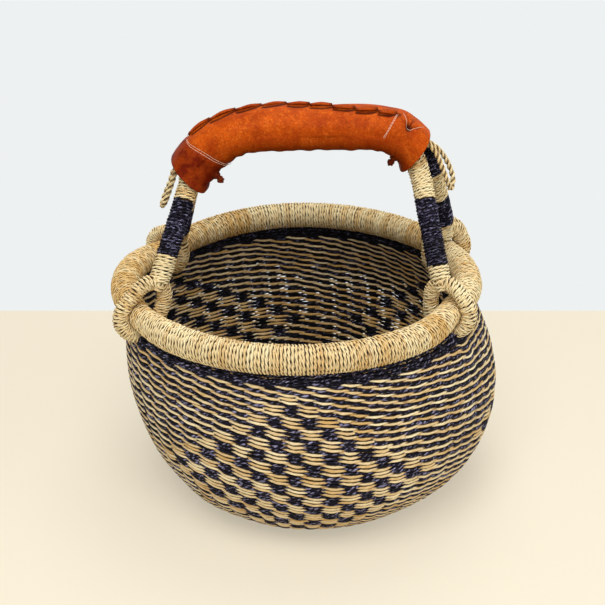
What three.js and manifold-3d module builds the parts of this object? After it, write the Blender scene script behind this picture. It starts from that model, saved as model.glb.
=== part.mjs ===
// A round hand-woven grass market basket with a wrapped rim and a twin-arch handle.
// Millimetres, +Z up. The origin is the middle of the flat base, on the floor.
// The front is -Y, left is -X. The bowl is a little crooked, as hand-made ones are.

import * as THREE from "three";
import Module from "manifold-3d";
import { mergeVertices } from "three/addons/utils/BufferGeometryUtils.js";

const wasm = await Module();
wasm.setup();

// Clearance between pieces that touch on the real basket.
const GAP = 0.35;

// Bowl: outer sizes of the woven shell.
const BASE_RADIUS = 80;
const BELLY_RADIUS = 153;
const BELLY_HEIGHT = 105;
const WALL_THICKNESS = 5;
const BORDER_LAP = 2.5; // weave left below the holes that the handle feet pass through
const BOWL_FACETS = 48;

// Rim: a bundle of stalks wrapped with strand.
const RIM_RADIUS = 140;
const RIM_HEIGHT = 180;
const RIM_ROLL_RADIUS = 11.65;
const RIM_CORE_RADIUS = 9;
const RIM_LEAN = -11; // how far the rim sits to the left of the base
const BELLY_LEAN = 9.5; // how far the belly bulges to the right of that slope
const RIM_DIP = 7; // how far the rim has sunk where the far left foot stands
const RIM_DIP_ANGLE = 137;
const RIM_DIP_SPREAD = 30; // degrees round the rim
const FOOT_SQUEEZE = 1.6; // how far each foot's eye squeezes the roll
const FOOT_SPREAD = 12; // degrees round the rim that pull and squeeze reach
const WRAP_SPLIT = 0.5; // gap between two lengths of rim wrapping, under a foot

// Handle: two wrapped arches bound side by side in the grip.
const LEG_RADIUS = 8.6;
const STRAND_THICKNESS = 1.7;
const STRAND_WIDTH = 1.85;
const STRAND_PITCH = 2.75;
const GRIP_RISE = 130.5; // middle of the grip above the middle of the rim
const GRIP_LEFT = 98;
const GRIP_RIGHT = 85;
const GRIP_LEFT_DROP = 42;
const GRIP_RIGHT_DROP = 19;
const GRIP_LEFT_POWER = 3.8; // how late the left shoulder turns down
const GRIP_RIGHT_POWER = 5.8; // how late the right shoulder turns down
const SHOULDER_SPREAD = 12; // each arch off the middle plane where the leather ends
const BRANCH_RADIUS = 5.7;
const SOCKET_FLOOR = 10; // depth of solid wrapping between the fork's middle and the arch's core

// Grip: padding bound round the arches, then a laced leather sleeve.
const PADDING_SIDE = 1.6; // padding outside the arches, front and back
const PADDING_DEPTH = 6.1; // padding above and below the arches
const SECTION_POWER = 0.85; // below 1 the grip's section is squarer than an ellipse
const LEFT_SWELL = 3.6; // extra padding over the left shoulder
const SWELL_REACH = 0.32; // share of the sleeve that the extra padding covers
const PADDING_SHORT = 9; // how far the padding stops inside the leather
const LEATHER_THICKNESS = 1.8;
const LEATHER_LEFT_TAIL = 1; // leather past the left shoulder
const LEATHER_RIGHT_SHORT = 18; // arches bare above the right shoulder
const LEATHER_END_SQUEEZE = 0.9; // height of the sleeve's mouths against its middle
const MOUTH_FLARE = 1.3; // the mouths stand this much wider off the arches
const MOUTH_SLANT = 0.35; // the mouths are cut back on top, as a share of their height
const MOUTH_REACH = 0.14; // share of the sleeve over which each mouth forms
const LACE_WIDTH = 3.8;
const LACE_THICKNESS = 2.2;
const LACE_ANGLE = 78; // degrees up from the front
const LACE_TWISTS = 9;
const CORD_RADIUS = 1.9;

// The four legs. Angles run round the rim from +X through the back.
// pull is how far a foot draws the rim inwards. forkRise and forkInset place the fork above and
// inside the rim's middle line, shoulderReach and shoulderDrop the shoulder past the grip's end
// and below its top. plain is the natural wrapping between the fork and the dyed band.
const legs = {
  near_left: {
    depth: -1, hand: -1, footAngle: 209, pull: 1, forkRise: 24, forkInset: 17,
    shoulderReach: -5, shoulderDrop: 37.5, plain: 22, band: 46,
  },
  near_right: {
    depth: -1, hand: 1, footAngle: 332.7, pull: 5, forkRise: 24, forkInset: 8.7,
    shoulderReach: 1.5, shoulderDrop: 37.5, plain: 13, band: 53.5,
  },
  far_left: {
    depth: 1, hand: -1, footAngle: 147, pull: 5, forkRise: 15, forkInset: 13,
    shoulderReach: -4, shoulderDrop: 37.5, plain: 12, band: 34,
  },
  far_right: {
    depth: 1, hand: 1, footAngle: 24.5, pull: -1, forkRise: 24, forkInset: 2,
    shoulderReach: 9, shoulderDrop: 28.5, plain: 7, band: 35,
  },
};

// Facets and steps.
const RIM_SIDES = 10;
const RIM_STEP = 7.5; // degrees
const LEG_SIDES = 8;
const LEG_STEPS = 2; // stations per span of an arch's curve
const EYE_STEPS = 20;
const TURN_STEPS = 10;
const GRIP_SIDES = 14;
const GRIP_SPANS = 15;
const CORD_SIDES = 8;
const LACE_STEPS = 4; // stations per half turn of the lace
const TABLE_STEPS = 400; // divisions of the table of lengths along an arch

// Sizes that follow from those above.
const WALL_TOP = RIM_HEIGHT - RIM_ROLL_RADIUS - GAP;
const WALL_TOP_RADIUS = RIM_RADIUS + WALL_THICKNESS / 2;
const EYE_RADIUS = RIM_ROLL_RADIUS - FOOT_SQUEEZE + GAP + BRANCH_RADIUS;
const BORDER_FOOT = RIM_HEIGHT - EYE_RADIUS - BRANCH_RADIUS - GAP - BORDER_LAP;
const STRAND_RADIUS = LEG_RADIUS - STRAND_THICKNESS / 2;
const TURN_SAG = Math.cos(Math.PI / TURN_STEPS);
const LEG_CORE_RADIUS = STRAND_RADIUS * TURN_SAG - STRAND_THICKNESS / 2 - GAP;
const ARCH_OFFSET = LEG_RADIUS + 1.5 * GAP;
const GRIP_HEIGHT = RIM_HEIGHT + GRIP_RISE;

// Colours and finishes.
const finish = (color, roughness) => new THREE.MeshStandardMaterial({ color, roughness, metalness: 0 });
const straw = () => finish("#cfae72", 0.75);
const paleStraw = () => finish("#dcc391", 0.75);
const navy = () => finish("#1f1c33", 0.7);
const stripedWeave = () => finish("#7d6c50", 0.8);
const stalk = () => finish("#b99a5e", 0.85);
const leather = () => finish("#b9521c", 0.5);
const darkLeather = () => finish("#6e2712", 0.55);

const UP = new THREE.Vector3(0, 0, 1);
const BACK = new THREE.Vector3(0, 1, 0);
const radians = THREE.MathUtils.degToRad;
const basket = new THREE.Group();

function addPiece(name, geometry, material) {
  const mesh = new THREE.Mesh(geometry, material);
  mesh.name = name;
  basket.add(mesh);
}

// Geometry kit

// Turns a mesh the right way out by the sign of its volume.
function faceOut(geometry) {
  const position = geometry.attributes.position;
  const index = geometry.index.array;
  const corner = [new THREE.Vector3(), new THREE.Vector3(), new THREE.Vector3()];
  let volume = 0;
  for (let i = 0; i < index.length; i += 3) {
    corner.forEach((point, k) => point.fromBufferAttribute(position, index[i + k]));
    volume += corner[0].dot(corner[1].cross(corner[2]));
  }
  if (volume < 0) {
    geometry.setIndex(Array.from(index).reverse());
  }
  return geometry;
}

// Keeps only the positions and joins vertices that lie together.
function bare(geometry) {
  const plain = new THREE.BufferGeometry();
  plain.setAttribute("position", geometry.attributes.position);
  plain.setIndex(geometry.index);
  return mergeVertices(plain, 1e-4);
}

function toManifold(geometry) {
  const merged = bare(geometry);
  const vertProperties = Float32Array.from(merged.attributes.position.array);
  const triVerts = Uint32Array.from(merged.index.array);
  return new wasm.Manifold(new wasm.Mesh({ numProp: 3, vertProperties, triVerts }));
}

function fromManifold(manifold) {
  const mesh = manifold.getMesh();
  const geometry = new THREE.BufferGeometry();
  geometry.setAttribute("position", new THREE.BufferAttribute(mesh.vertProperties, 3));
  geometry.setIndex(new THREE.BufferAttribute(mesh.triVerts, 1));
  return geometry;
}

// Points of an ellipse, anticlockwise for an outside and clockwise for a hole.
function ellipse(halfWidth, halfHeight, sides, hole = false) {
  const curve = new THREE.EllipseCurve(0, 0, halfWidth, halfHeight, 0, 2 * Math.PI, false);
  const points = curve.getPoints(sides).slice(0, -1);
  return hole ? points.reverse() : points;
}

const disc = (radius, sides) => ellipse(radius, radius, sides);
const bore = (radius, sides) => ellipse(radius, radius, sides, true);

// Lays loops of points on each station and skins between them. loopsAt gives the outside
// first and then any holes. An open sweep gets flat ends, a closed one joins up.
function sweep(stations, loopsAt, closed = false) {
  const points = [];
  const faces = [];
  const loops = stations.map((station, i) => loopsAt(station, i));
  const sizes = loops[0].map((loop) => loop.length);
  const ringSize = sizes.reduce((sum, size) => sum + size, 0);
  stations.forEach((station, i) => {
    for (const p of loops[i].flat()) {
      const point = station.point.clone().addScaledVector(station.side, p.x);
      point.addScaledVector(station.up, p.y);
      points.push(station.slant ? point.addScaledVector(station.slant, p.y) : point);
    }
  });
  const spans = closed ? stations.length : stations.length - 1;
  for (let i = 0; i < spans; i += 1) {
    const here = i * ringSize;
    const next = ((i + 1) % stations.length) * ringSize;
    let start = 0;
    for (const size of sizes) {
      for (let j = 0; j < size; j += 1) {
        const a = start + j;
        const b = start + ((j + 1) % size);
        faces.push(here + a, here + b, next + b, here + a, next + b, next + a);
      }
      start += size;
    }
  }
  if (!closed) {
    const last = (stations.length - 1) * ringSize;
    const startCap = THREE.ShapeUtils.triangulateShape(loops[0][0], loops[0].slice(1));
    const endCap = THREE.ShapeUtils.triangulateShape(loops.at(-1)[0], loops.at(-1).slice(1));
    startCap.forEach(([a, b, c]) => faces.push(c, b, a));
    endCap.forEach(([a, b, c]) => faces.push(last + a, last + b, last + c));
  }
  const geometry = new THREE.BufferGeometry().setFromPoints(points);
  geometry.setIndex(faces);
  return faceOut(geometry);
}

// Bowl

// The bowl's axis wanders: the belly bulges right and the rim sits left of the base.
function leanAt(z) {
  const share = z / WALL_TOP;
  return RIM_LEAN * share + 4 * BELLY_LEAN * share * (1 - share);
}

// Degrees from one direction round the basket to another, the short way.
function degreesBetween(from, to) {
  return THREE.MathUtils.euclideanModulo(to - from + 180, 360) - 180;
}

// How far the rim has sunk in one direction. The weave below it follows.
function dipAt(degrees) {
  return RIM_DIP * Math.exp(-((degreesBetween(RIM_DIP_ANGLE, degrees) / RIM_DIP_SPREAD) ** 2));
}

// A point of the bowl's outer profile and the outward normal there. share runs from 0 at the
// edge of the flat base, through 1 at the belly, to 2 at the top of the weave.
function wallProfile(share) {
  if (share <= 1) {
    const angle = (1 - share) * Math.PI / 2;
    const width = BELLY_RADIUS - BASE_RADIUS;
    const radius = BASE_RADIUS + width * Math.cos(angle);
    const height = BELLY_HEIGHT * (1 - Math.sin(angle));
    const normal = new THREE.Vector2(Math.cos(angle) / width, -Math.sin(angle) / BELLY_HEIGHT);
    return { point: new THREE.Vector2(radius, height), normal: normal.normalize() };
  }
  const power = 1.8;
  const rise = WALL_TOP - BELLY_HEIGHT;
  const draw = BELLY_RADIUS - WALL_TOP_RADIUS;
  const climb = share - 1;
  const radius = BELLY_RADIUS - draw * climb ** power;
  const slope = draw * power * climb ** (power - 1) / rise;
  const point = new THREE.Vector2(radius, BELLY_HEIGHT + rise * climb);
  return { point, normal: new THREE.Vector2(1, slope).normalize() };
}

// Revolves a stretch of the shell and shears it along the bowl's wandering axis.
function shell(shares) {
  const outside = shares.map((share) => wallProfile(share).point);
  const inside = shares.map((share) => {
    const { point, normal } = wallProfile(share);
    return point.clone().addScaledVector(normal, -WALL_THICKNESS);
  });
  const first = shares[0];
  if (first > 0) {
    inside[0].y = outside[0].y;
  }
  inside.at(-1).y = outside.at(-1).y;
  return revolve([...outside, ...inside.reverse(), outside[0].clone()]);
}

function revolve(profile) {
  const turned = bare(new THREE.LatheGeometry(profile, BOWL_FACETS));
  turned.rotateX(Math.PI / 2);
  const position = turned.attributes.position;
  for (let i = 0; i < position.count; i += 1) {
    const height = position.getZ(i);
    const degrees = THREE.MathUtils.radToDeg(Math.atan2(position.getY(i), position.getX(i)));
    position.setX(i, position.getX(i) + leanAt(height));
    position.setZ(i, height - dipAt(degrees) * (height / WALL_TOP) ** 2);
  }
  return faceOut(turned);
}

function shareAtHeight(height) {
  return 1 + (height - BELLY_HEIGHT) / (WALL_TOP - BELLY_HEIGHT);
}

function range(from, to, count) {
  return Array.from({ length: count + 1 }, (_, i) => from + (to - from) * i / count);
}

function makeBowl() {
  const matRadius = BASE_RADIUS - GAP;
  const mat = [[0, 0], [matRadius, 0], [matRadius, WALL_THICKNESS], [0, WALL_THICKNESS]];
  addPiece("base_mat", revolve(mat.map(([r, z]) => new THREE.Vector2(r, z))), stripedWeave());

  const lower = range(0, 1, 6);
  const upper = range(1, shareAtHeight(BORDER_FOOT - GAP), 2);
  addPiece("wall_weave", shell([...lower, ...upper.slice(1)]), stripedWeave());

  let border = toManifold(shell(range(shareAtHeight(BORDER_FOOT), 2, 1)));
  for (const leg of Object.values(legs)) {
    border = border.subtract(toManifold(eye(leg, BRANCH_RADIUS + GAP)));
  }
  addPiece("border_weave", fromManifold(border), navy());
}

// Rim

// How much a place on the rim feels one foot, from 0 to 1.
function footNearness(leg, degrees) {
  return Math.exp(-((degreesBetween(leg.footAngle, degrees) / FOOT_SPREAD) ** 2));
}

function rimPoint(degrees) {
  let radius = RIM_RADIUS;
  Object.values(legs).forEach((leg) => {
    radius -= leg.pull * footNearness(leg, degrees);
  });
  const angle = radians(degrees);
  const height = RIM_HEIGHT - dipAt(degrees);
  return new THREE.Vector3(RIM_LEAN + radius * Math.cos(angle), radius * Math.sin(angle), height);
}

function rimStation(degrees) {
  const tangent = rimPoint(degrees + 0.5).sub(rimPoint(degrees - 0.5)).normalize();
  const nearness = Object.values(legs).map((leg) => footNearness(leg, degrees));
  const squeeze = FOOT_SQUEEZE * Math.max(...nearness);
  const side = UP.clone().cross(tangent).normalize();
  return { point: rimPoint(degrees), side, up: tangent.clone().cross(side), squeeze };
}

// Stations round part of the rim, on the same grid of angles as the whole ring.
function rimArc(from, to) {
  const angles = [from];
  for (let angle = Math.ceil(from / RIM_STEP) * RIM_STEP; angle < to; angle += RIM_STEP) {
    if (angle > from) {
      angles.push(angle);
    }
  }
  return [...angles, to].map(rimStation);
}

function makeRim() {
  const { near_left, near_right, far_left, far_right } = legs;
  const lengths = {
    right: [near_right.footAngle - 360, far_right.footAngle],
    back: [far_right.footAngle, far_left.footAngle],
    left: [far_left.footAngle, near_left.footAngle],
    front: [near_left.footAngle, near_right.footAngle],
  };
  const split = THREE.MathUtils.radToDeg(WRAP_SPLIT / 2 / RIM_RADIUS);
  const arcs = Object.values(lengths).map(([from, to]) => rimArc(from + split, to - split));
  Object.keys(lengths).forEach((name, i) => {
    const wrap = sweep(arcs[i], ({ squeeze }) => [
      disc(RIM_ROLL_RADIUS - squeeze, RIM_SIDES),
      bore(RIM_CORE_RADIUS - squeeze + GAP, RIM_SIDES),
    ]);
    addPiece(`rim_wrap_${name}`, wrap, paleStraw());
  });
  const core = sweep(arcs.flat(), ({ squeeze }) => [disc(RIM_CORE_RADIUS - squeeze, RIM_SIDES)], true);
  addPiece("rim_core", core, stalk());
}

// Handle arches

// Height of the grip's middle line over x, flat on top with a rounder left shoulder.
function gripHeightAt(x) {
  if (x < 0) {
    return GRIP_HEIGHT - GRIP_LEFT_DROP * (-x / GRIP_LEFT) ** GRIP_LEFT_POWER;
  }
  return GRIP_HEIGHT - GRIP_RIGHT_DROP * (x / GRIP_RIGHT) ** GRIP_RIGHT_POWER;
}

function outwardAt(leg) {
  const angle = radians(leg.footAngle);
  return new THREE.Vector3(Math.cos(angle), Math.sin(angle), 0);
}

function forkPoint(leg) {
  const point = rimPoint(leg.footAngle).addScaledVector(outwardAt(leg), -leg.forkInset);
  return point.addScaledVector(UP, leg.forkRise);
}

function shoulderPoint(leg) {
  const end = leg.hand < 0 ? GRIP_LEFT : GRIP_RIGHT;
  const x = leg.hand * (end + leg.shoulderReach);
  return new THREE.Vector3(x, leg.depth * SHOULDER_SPREAD, GRIP_HEIGHT - leg.shoulderDrop);
}

// An arch runs from its left fork over the grip to its right fork.
function archCurve(left, right) {
  const legPoints = (leg) => [0, 0.34, 0.68, 1].map((t) => forkPoint(leg).lerp(shoulderPoint(leg), t));
  const leftShares = [-0.84, -0.61, -0.31];
  const rightShares = [0, 0.35, 0.67, 0.86];
  const across = [...leftShares.map((s) => s * GRIP_LEFT), ...rightShares.map((s) => s * GRIP_RIGHT)];
  const top = across.map((x) => new THREE.Vector3(x, left.depth * ARCH_OFFSET, gripHeightAt(x)));
  return new THREE.CatmullRomCurve3([...legPoints(left), ...top, ...legPoints(right).reverse()]);
}

const nearCurve = archCurve(legs.near_left, legs.near_right);
const farCurve = archCurve(legs.far_left, legs.far_right);
const SPANS = nearCurve.points.length - 1;
const LEFT_SHOULDER = 3 / SPANS;
const RIGHT_SHOULDER = 1 - LEFT_SHOULDER;

function archStation(curve, t) {
  const tangent = curve.getTangent(t);
  const side = BACK.clone().addScaledVector(tangent, -tangent.dot(BACK)).normalize();
  return { point: curve.getPoint(t), side, up: tangent.clone().cross(side), tangent };
}

// Stations between two places on an arch, on one grid, so that layers keep the same facets.
function archStretch(curve, from, to) {
  const steps = SPANS * LEG_STEPS;
  const grid = range(0, 1, steps).filter((t) => t > from + 0.2 / steps && t < to - 0.2 / steps);
  return [from, ...grid, to].map((t) => archStation(curve, t));
}

// The place on an arch that lies this far along it from its left end, or from its right.
function placeAt(curve, distance, hand) {
  const table = curve.getLengths(TABLE_STEPS);
  const target = hand < 0 ? distance : table.at(-1) - distance;
  const i = Math.max(1, table.findIndex((length) => length >= target));
  return (i - (table[i] - target) / (table[i] - table[i - 1])) / TABLE_STEPS;
}

const curveOf = (leg) => (leg.depth < 0 ? nearCurve : farCurve);

// Orders two places so that sweeps always run left to right.
function legStretch(leg, from, to) {
  const curve = curveOf(leg);
  const ends = [placeAt(curve, from, leg.hand), placeAt(curve, to, leg.hand)];
  return archStretch(curve, Math.min(...ends), Math.max(...ends));
}

// The two branches below a fork close into an eye round the rim, drawn out to the fork.
function eye(leg, radius) {
  const centre = rimPoint(leg.footAngle);
  const outward = outwardAt(leg);
  const toFork = forkPoint(leg).sub(centre);
  const tip = Math.atan2(toFork.dot(UP), toFork.dot(outward));
  const stretch = toFork.length() - EYE_RADIUS;
  const pointAt = (turn) => {
    const away = Math.atan2(Math.sin(turn), Math.cos(turn));
    const reach = EYE_RADIUS + stretch * Math.exp(-((away / radians(38)) ** 2));
    const flat = outward.clone().multiplyScalar(reach * Math.cos(tip + turn));
    return flat.addScaledVector(UP, reach * Math.sin(tip + turn)).add(centre);
  };
  const across = outward.clone().cross(UP);
  const stations = range(0, 2 * Math.PI, EYE_STEPS).slice(0, -1).map((turn) => {
    const tangent = pointAt(turn + 0.02).sub(pointAt(turn - 0.02)).normalize();
    return { point: pointAt(turn), side: across, up: tangent.cross(across) };
  });
  return sweep(stations, () => [disc(radius, LEG_SIDES)], true);
}

function makeFoot(name, leg) {
  const stub = legStretch(leg, 0, leg.plain);
  const fork = forkPoint(leg);
  const stubRadius = (station) => {
    const share = Math.min(1, station.point.distanceTo(fork) / LEG_RADIUS);
    return LEG_RADIUS - (LEG_RADIUS - BRANCH_RADIUS) * (1 - share);
  };
  const wrapped = sweep(stub, (station) => [disc(stubRadius(station), LEG_SIDES)]);
  const socket = sweep(legStretch(leg, SOCKET_FLOOR - GAP, leg.plain + 1), () => [
    disc(LEG_CORE_RADIUS + GAP, LEG_SIDES),
  ]);
  const foot = toManifold(eye(leg, BRANCH_RADIUS)).add(toManifold(wrapped));
  addPiece(`${name}_foot`, fromManifold(foot.subtract(toManifold(socket))), paleStraw());
}

// A dyed strand wound round the leg, its two ends laid along the leg.
function makeBand(name, leg) {
  const curve = curveOf(leg);
  const from = leg.plain + GAP;
  const to = leg.plain + leg.band - GAP;
  const lead = 1.25 * STRAND_WIDTH;
  const turns = Math.floor((to - from - 2 * lead) / STRAND_PITCH);
  const pitch = (to - from - 2 * lead) / turns;
  const path = [];
  const place = (distance, turn) => {
    const station = archStation(curve, placeAt(curve, distance, leg.hand));
    const radial = station.side.clone().multiplyScalar(Math.cos(turn));
    radial.addScaledVector(station.up, Math.sin(turn));
    path.push({ point: station.point.clone().addScaledVector(radial, STRAND_RADIUS), radial });
  };
  place(from, 0);
  for (let i = 0; i <= turns * TURN_STEPS; i += 1) {
    place(from + lead + pitch * i / TURN_STEPS, 2 * Math.PI * i / TURN_STEPS);
  }
  place(to, 2 * Math.PI * turns);
  const stations = path.map(({ point, radial }, i) => {
    const before = path[Math.max(i - 1, 0)].point;
    const after = path[Math.min(i + 1, path.length - 1)].point;
    const tangent = after.clone().sub(before).normalize();
    const up = radial.clone().addScaledVector(tangent, -tangent.dot(radial)).normalize();
    return { point, side: up.clone().cross(tangent), up };
  });
  const halfWidth = STRAND_WIDTH / 2;
  const halfThickness = STRAND_THICKNESS / 2;
  const section = [[-1, -1], [1, -1], [1, 1], [-1, 1]].map(
    ([a, b]) => new THREE.Vector2(a * halfWidth, b * halfThickness),
  );
  addPiece(`${name}_dyed_band`, sweep(stations, () => [section]), navy());
  reportGap(name, path.map(({ point }) => point), pitch);
}

// Prints the least gap between one turn of a winding and any later turn.
function reportGap(name, points, pitch) {
  const fine = new THREE.CatmullRomCurve3(points).getSpacedPoints(points.length * 4);
  const half = Math.PI * STRAND_RADIUS;
  const step = fine[1].distanceTo(fine[0]);
  const skip = Math.ceil(half / step);
  let least = Infinity;
  for (let i = 0; i < fine.length; i += 1) {
    for (let j = i + skip; j < Math.min(fine.length, i + 4 * skip); j += 1) {
      least = Math.min(least, fine[i].distanceTo(fine[j]));
    }
  }
  const gap = (least - STRAND_WIDTH).toFixed(2);
  console.log(`${name} dyed band: pitch ${pitch.toFixed(2)} mm, least gap to itself ${gap} mm`);
}

function makeArch(name, curve, left, right) {
  const from = placeAt(curve, SOCKET_FLOOR, -1);
  const to = placeAt(curve, SOCKET_FLOOR, 1);
  const core = sweep(archStretch(curve, from, to), () => [disc(LEG_CORE_RADIUS, LEG_SIDES)]);
  addPiece(`${name}_arch_core`, core, stalk());

  const start = placeAt(curve, left.plain + left.band, -1);
  const end = placeAt(curve, right.plain + right.band, 1);
  const outside = disc(LEG_RADIUS, LEG_SIDES);
  const inside = bore(LEG_CORE_RADIUS + GAP, LEG_SIDES);
  const wrap = sweep(archStretch(curve, start, end), () => [outside, inside]);
  addPiece(`${name}_arch_wrap`, wrap, paleStraw());
}

// Grip

// The grip's middle line lies half way between the arches, and is wider where they part.
function gripStation(t) {
  const near = nearCurve.getPoint(t);
  const far = farCurve.getPoint(t);
  const tangent = nearCurve.getTangent(t).add(farCurve.getTangent(t)).normalize();
  const side = BACK.clone().addScaledVector(tangent, -tangent.dot(BACK)).normalize();
  const point = near.clone().lerp(far, 0.5);
  const up = tangent.clone().cross(side);
  const apart = far.clone().sub(near);
  return { point, side, up, tangent, spread: apart.dot(side) / 2, lift: Math.abs(apart.dot(up)) / 2, t };
}

const leatherStart = placeAt(nearCurve, nearCurve.getPoint(0).distanceTo(
  nearCurve.getPoint(LEFT_SHOULDER),
) - LEATHER_LEFT_TAIL, -1);
const leatherEnd = placeAt(nearCurve, nearCurve.getPoint(1).distanceTo(
  nearCurve.getPoint(RIGHT_SHOULDER),
) + LEATHER_RIGHT_SHORT, 1);
const paddingInset = PADDING_SHORT / nearCurve.getLength();
const paddingStart = leatherStart + paddingInset;
const paddingEnd = leatherEnd - paddingInset;

// Stations inside the leather, between the ends of the padding.
const gripStations = range(paddingStart, paddingEnd, GRIP_SPANS).map(gripStation);

// 0 at either mouth of the leather and 1 where its full section is reached.
function mouthDistance(t) {
  const along = (t - leatherStart) / (leatherEnd - leatherStart);
  return THREE.MathUtils.clamp(Math.min(along, 1 - along) / MOUTH_REACH, 0, 1);
}

// The space inside the leather: it flattens towards both mouths and swells over the left
// shoulder. rise is how far its middle stands off the middle line of the arches.
function gripInside(station) {
  const fullness = Math.sin(mouthDistance(station.t) * Math.PI / 2);
  const squeeze = LEATHER_END_SQUEEZE + (1 - LEATHER_END_SQUEEZE) * fullness;
  const along = (station.t - leatherStart) / (leatherEnd - leatherStart);
  const swell = LEFT_SWELL * Math.cos(Math.min(1, along / SWELL_REACH) * Math.PI / 2);
  return {
    halfWidth: station.spread + LEG_RADIUS + GAP + PADDING_SIDE + MOUTH_FLARE * (1 - fullness),
    halfHeight: (LEG_RADIUS + PADDING_DEPTH + GAP) * squeeze + swell / 2 + station.lift,
    rise: swell / 2 * Math.sign(station.up.z),
  };
}

// A closed loop of the leather's section, grown by an offset from the space inside.
function gripLoop(station, offset, hole = false) {
  const { halfWidth, halfHeight, rise } = gripInside(station);
  const loop = ellipse(1, 1, GRIP_SIDES, hole);
  return loop.map(({ x, y }) => new THREE.Vector2(
    squared(x) * (halfWidth + offset),
    squared(y) * (halfHeight + offset) + rise,
  ));
}

function squared(value) {
  return Math.sign(value) * Math.abs(value) ** SECTION_POWER;
}

function makeGrip() {
  let padding = toManifold(sweep(gripStations, (station) => [gripLoop(station, -GAP)]));
  for (const curve of [nearCurve, farCurve]) {
    const channel = sweep(archStretch(curve, LEFT_SHOULDER / 2, 1 - LEFT_SHOULDER / 2), () => [
      disc(LEG_RADIUS + GAP, LEG_SIDES),
    ]);
    padding = padding.subtract(toManifold(channel));
  }
  addPiece("grip_padding", fromManifold(padding), stalk());

  const mouths = [gripStation(leatherStart), gripStation(leatherEnd)];
  const stations = [mouths[0], ...gripStations, mouths[1]].map((station) => {
    const cut = MOUTH_SLANT * (1 - mouthDistance(station.t)) * (station.t < 0.5 ? 1 : -1);
    return { ...station, slant: station.tangent.clone().multiplyScalar(cut) };
  });
  const sleeve = sweep(stations, (station) => [
    gripLoop(station, LEATHER_THICKNESS),
    gripLoop(station, 0, true),
  ]);
  addPiece("leather_sleeve", sleeve, leather());
}

// A point just off the leather at an angle up from the front, and the outward direction.
function onLeather(t, degrees, clearance) {
  const station = gripStation(t);
  const { halfWidth, halfHeight, rise } = gripInside(station);
  const angle = radians(180 - degrees);
  const a = (halfWidth + LEATHER_THICKNESS) * squared(Math.cos(angle));
  const b = (halfHeight + LEATHER_THICKNESS) * squared(Math.sin(angle));
  const point = station.point.clone().addScaledVector(station.side, a);
  point.addScaledVector(station.up, b + rise);
  const normal = station.side.clone().multiplyScalar(a / halfWidth ** 2);
  normal.addScaledVector(station.up, b / halfHeight ** 2).normalize();
  return { point: point.addScaledVector(normal, clearance), normal, tangent: station.tangent };
}

// The lace is a flat thong twisted along the seam on top of the sleeve.
function makeLace() {
  const steps = LACE_TWISTS * LACE_STEPS;
  const reach = leatherEnd - leatherStart;
  const places = range(leatherStart + 0.05 * reach, leatherEnd - 0.1 * reach, steps);
  const stations = places.map((t, i) => {
    const { point, normal, tangent } = onLeather(t, LACE_ANGLE, LACE_WIDTH / 2 + GAP);
    const twist = Math.PI * i / LACE_STEPS;
    const across = normal.clone().cross(tangent);
    const side = across.clone().multiplyScalar(Math.cos(twist)).addScaledVector(normal, Math.sin(twist));
    return { point, side, up: tangent.clone().cross(side) };
  });
  const thong = ellipse(LACE_WIDTH / 2, LACE_THICKNESS / 2, 6);
  addPiece("seam_lace", sweep(stations, () => [thong]), leather());
}

// Short knotted thong ends under the sleeve's two shoulders.
function makeKnot(name, t, degrees, length) {
  const root = onLeather(t, degrees, GAP);
  const middle = root.point.clone().addScaledVector(root.normal, length / 2);
  const tip = middle.clone().addScaledVector(root.normal, length / 4);
  tip.addScaledVector(root.tangent, -length / 3);
  const curve = new THREE.CatmullRomCurve3([root.point, middle, tip]);
  const across = root.tangent.clone().cross(root.normal);
  const stations = range(0, 1, 4).map((share) => {
    const tangent = curve.getTangent(share);
    return { point: curve.getPoint(share), side: across, up: tangent.cross(across) };
  });
  const widths = [2.6, 3.9, 2.9, 3.7, 2];
  const knot = sweep(stations, (_, i) => [ellipse(widths[i], widths[i] * 0.62, 8)]);
  addPiece(name, knot, darkLeather());
}

// Cord loops

// A cord leaves the padding between the arches, runs out of the mouth of the sleeve,
// hangs in a loop and goes back in beside itself.
function makeCordLoop(name, mouth, hangingPoints) {
  const station = gripStation(mouth);
  const outwards = mouth < 0.5 ? -1 : 1;
  const row = LEG_RADIUS + 0.6 * CORD_RADIUS;
  const exitAt = (depth, run) => {
    const point = station.point.clone().addScaledVector(station.side, depth * (CORD_RADIUS + GAP));
    point.addScaledVector(station.up, row * Math.sign(station.up.z));
    return point.addScaledVector(station.tangent, outwards * run);
  };
  const hanging = hangingPoints.map((p) => new THREE.Vector3(...p));
  const run = PADDING_SHORT * 0.9;
  const route = [exitAt(-1, GAP), exitAt(-1, run), ...hanging, exitAt(1, run), exitAt(1, GAP)];
  const curve = new THREE.CatmullRomCurve3(route);
  const shape = new THREE.Shape(disc(CORD_RADIUS, CORD_SIDES));
  const steps = Math.round(curve.getLength() / (2 * 2 * CORD_RADIUS));
  const tube = new THREE.ExtrudeGeometry(shape, { steps, extrudePath: curve, bevelEnabled: false });
  console.log(`${name}: ${curve.getLength().toFixed(1)} mm long`);
  const soft = new THREE.BufferGeometry();
  soft.setAttribute("position", tube.attributes.position);
  addPiece(name, faceOut(mergeVertices(soft, 1e-3)), straw());
}

function makeCordLoops() {
  makeCordLoop("left_cord_loop", paddingStart, [
    [-105.5, -5.5, 276], [-110.5, -7.5, 263], [-115, -6.5, 251],
    [-118.5, 0, 245],
    [-117, 6.5, 250], [-112.5, 7.5, 261], [-107.5, 5.5, 274],
  ]);
  makeCordLoop("right_cord_loop", paddingEnd, [
    [98, -2, 291], [104, -3, 278], [108.5, -2, 266],
    [112.5, 4.5, 257.5],
    [114.5, 11, 263], [110.8, 12.5, 274.5], [102.5, 9, 288],
  ]);
}

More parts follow.
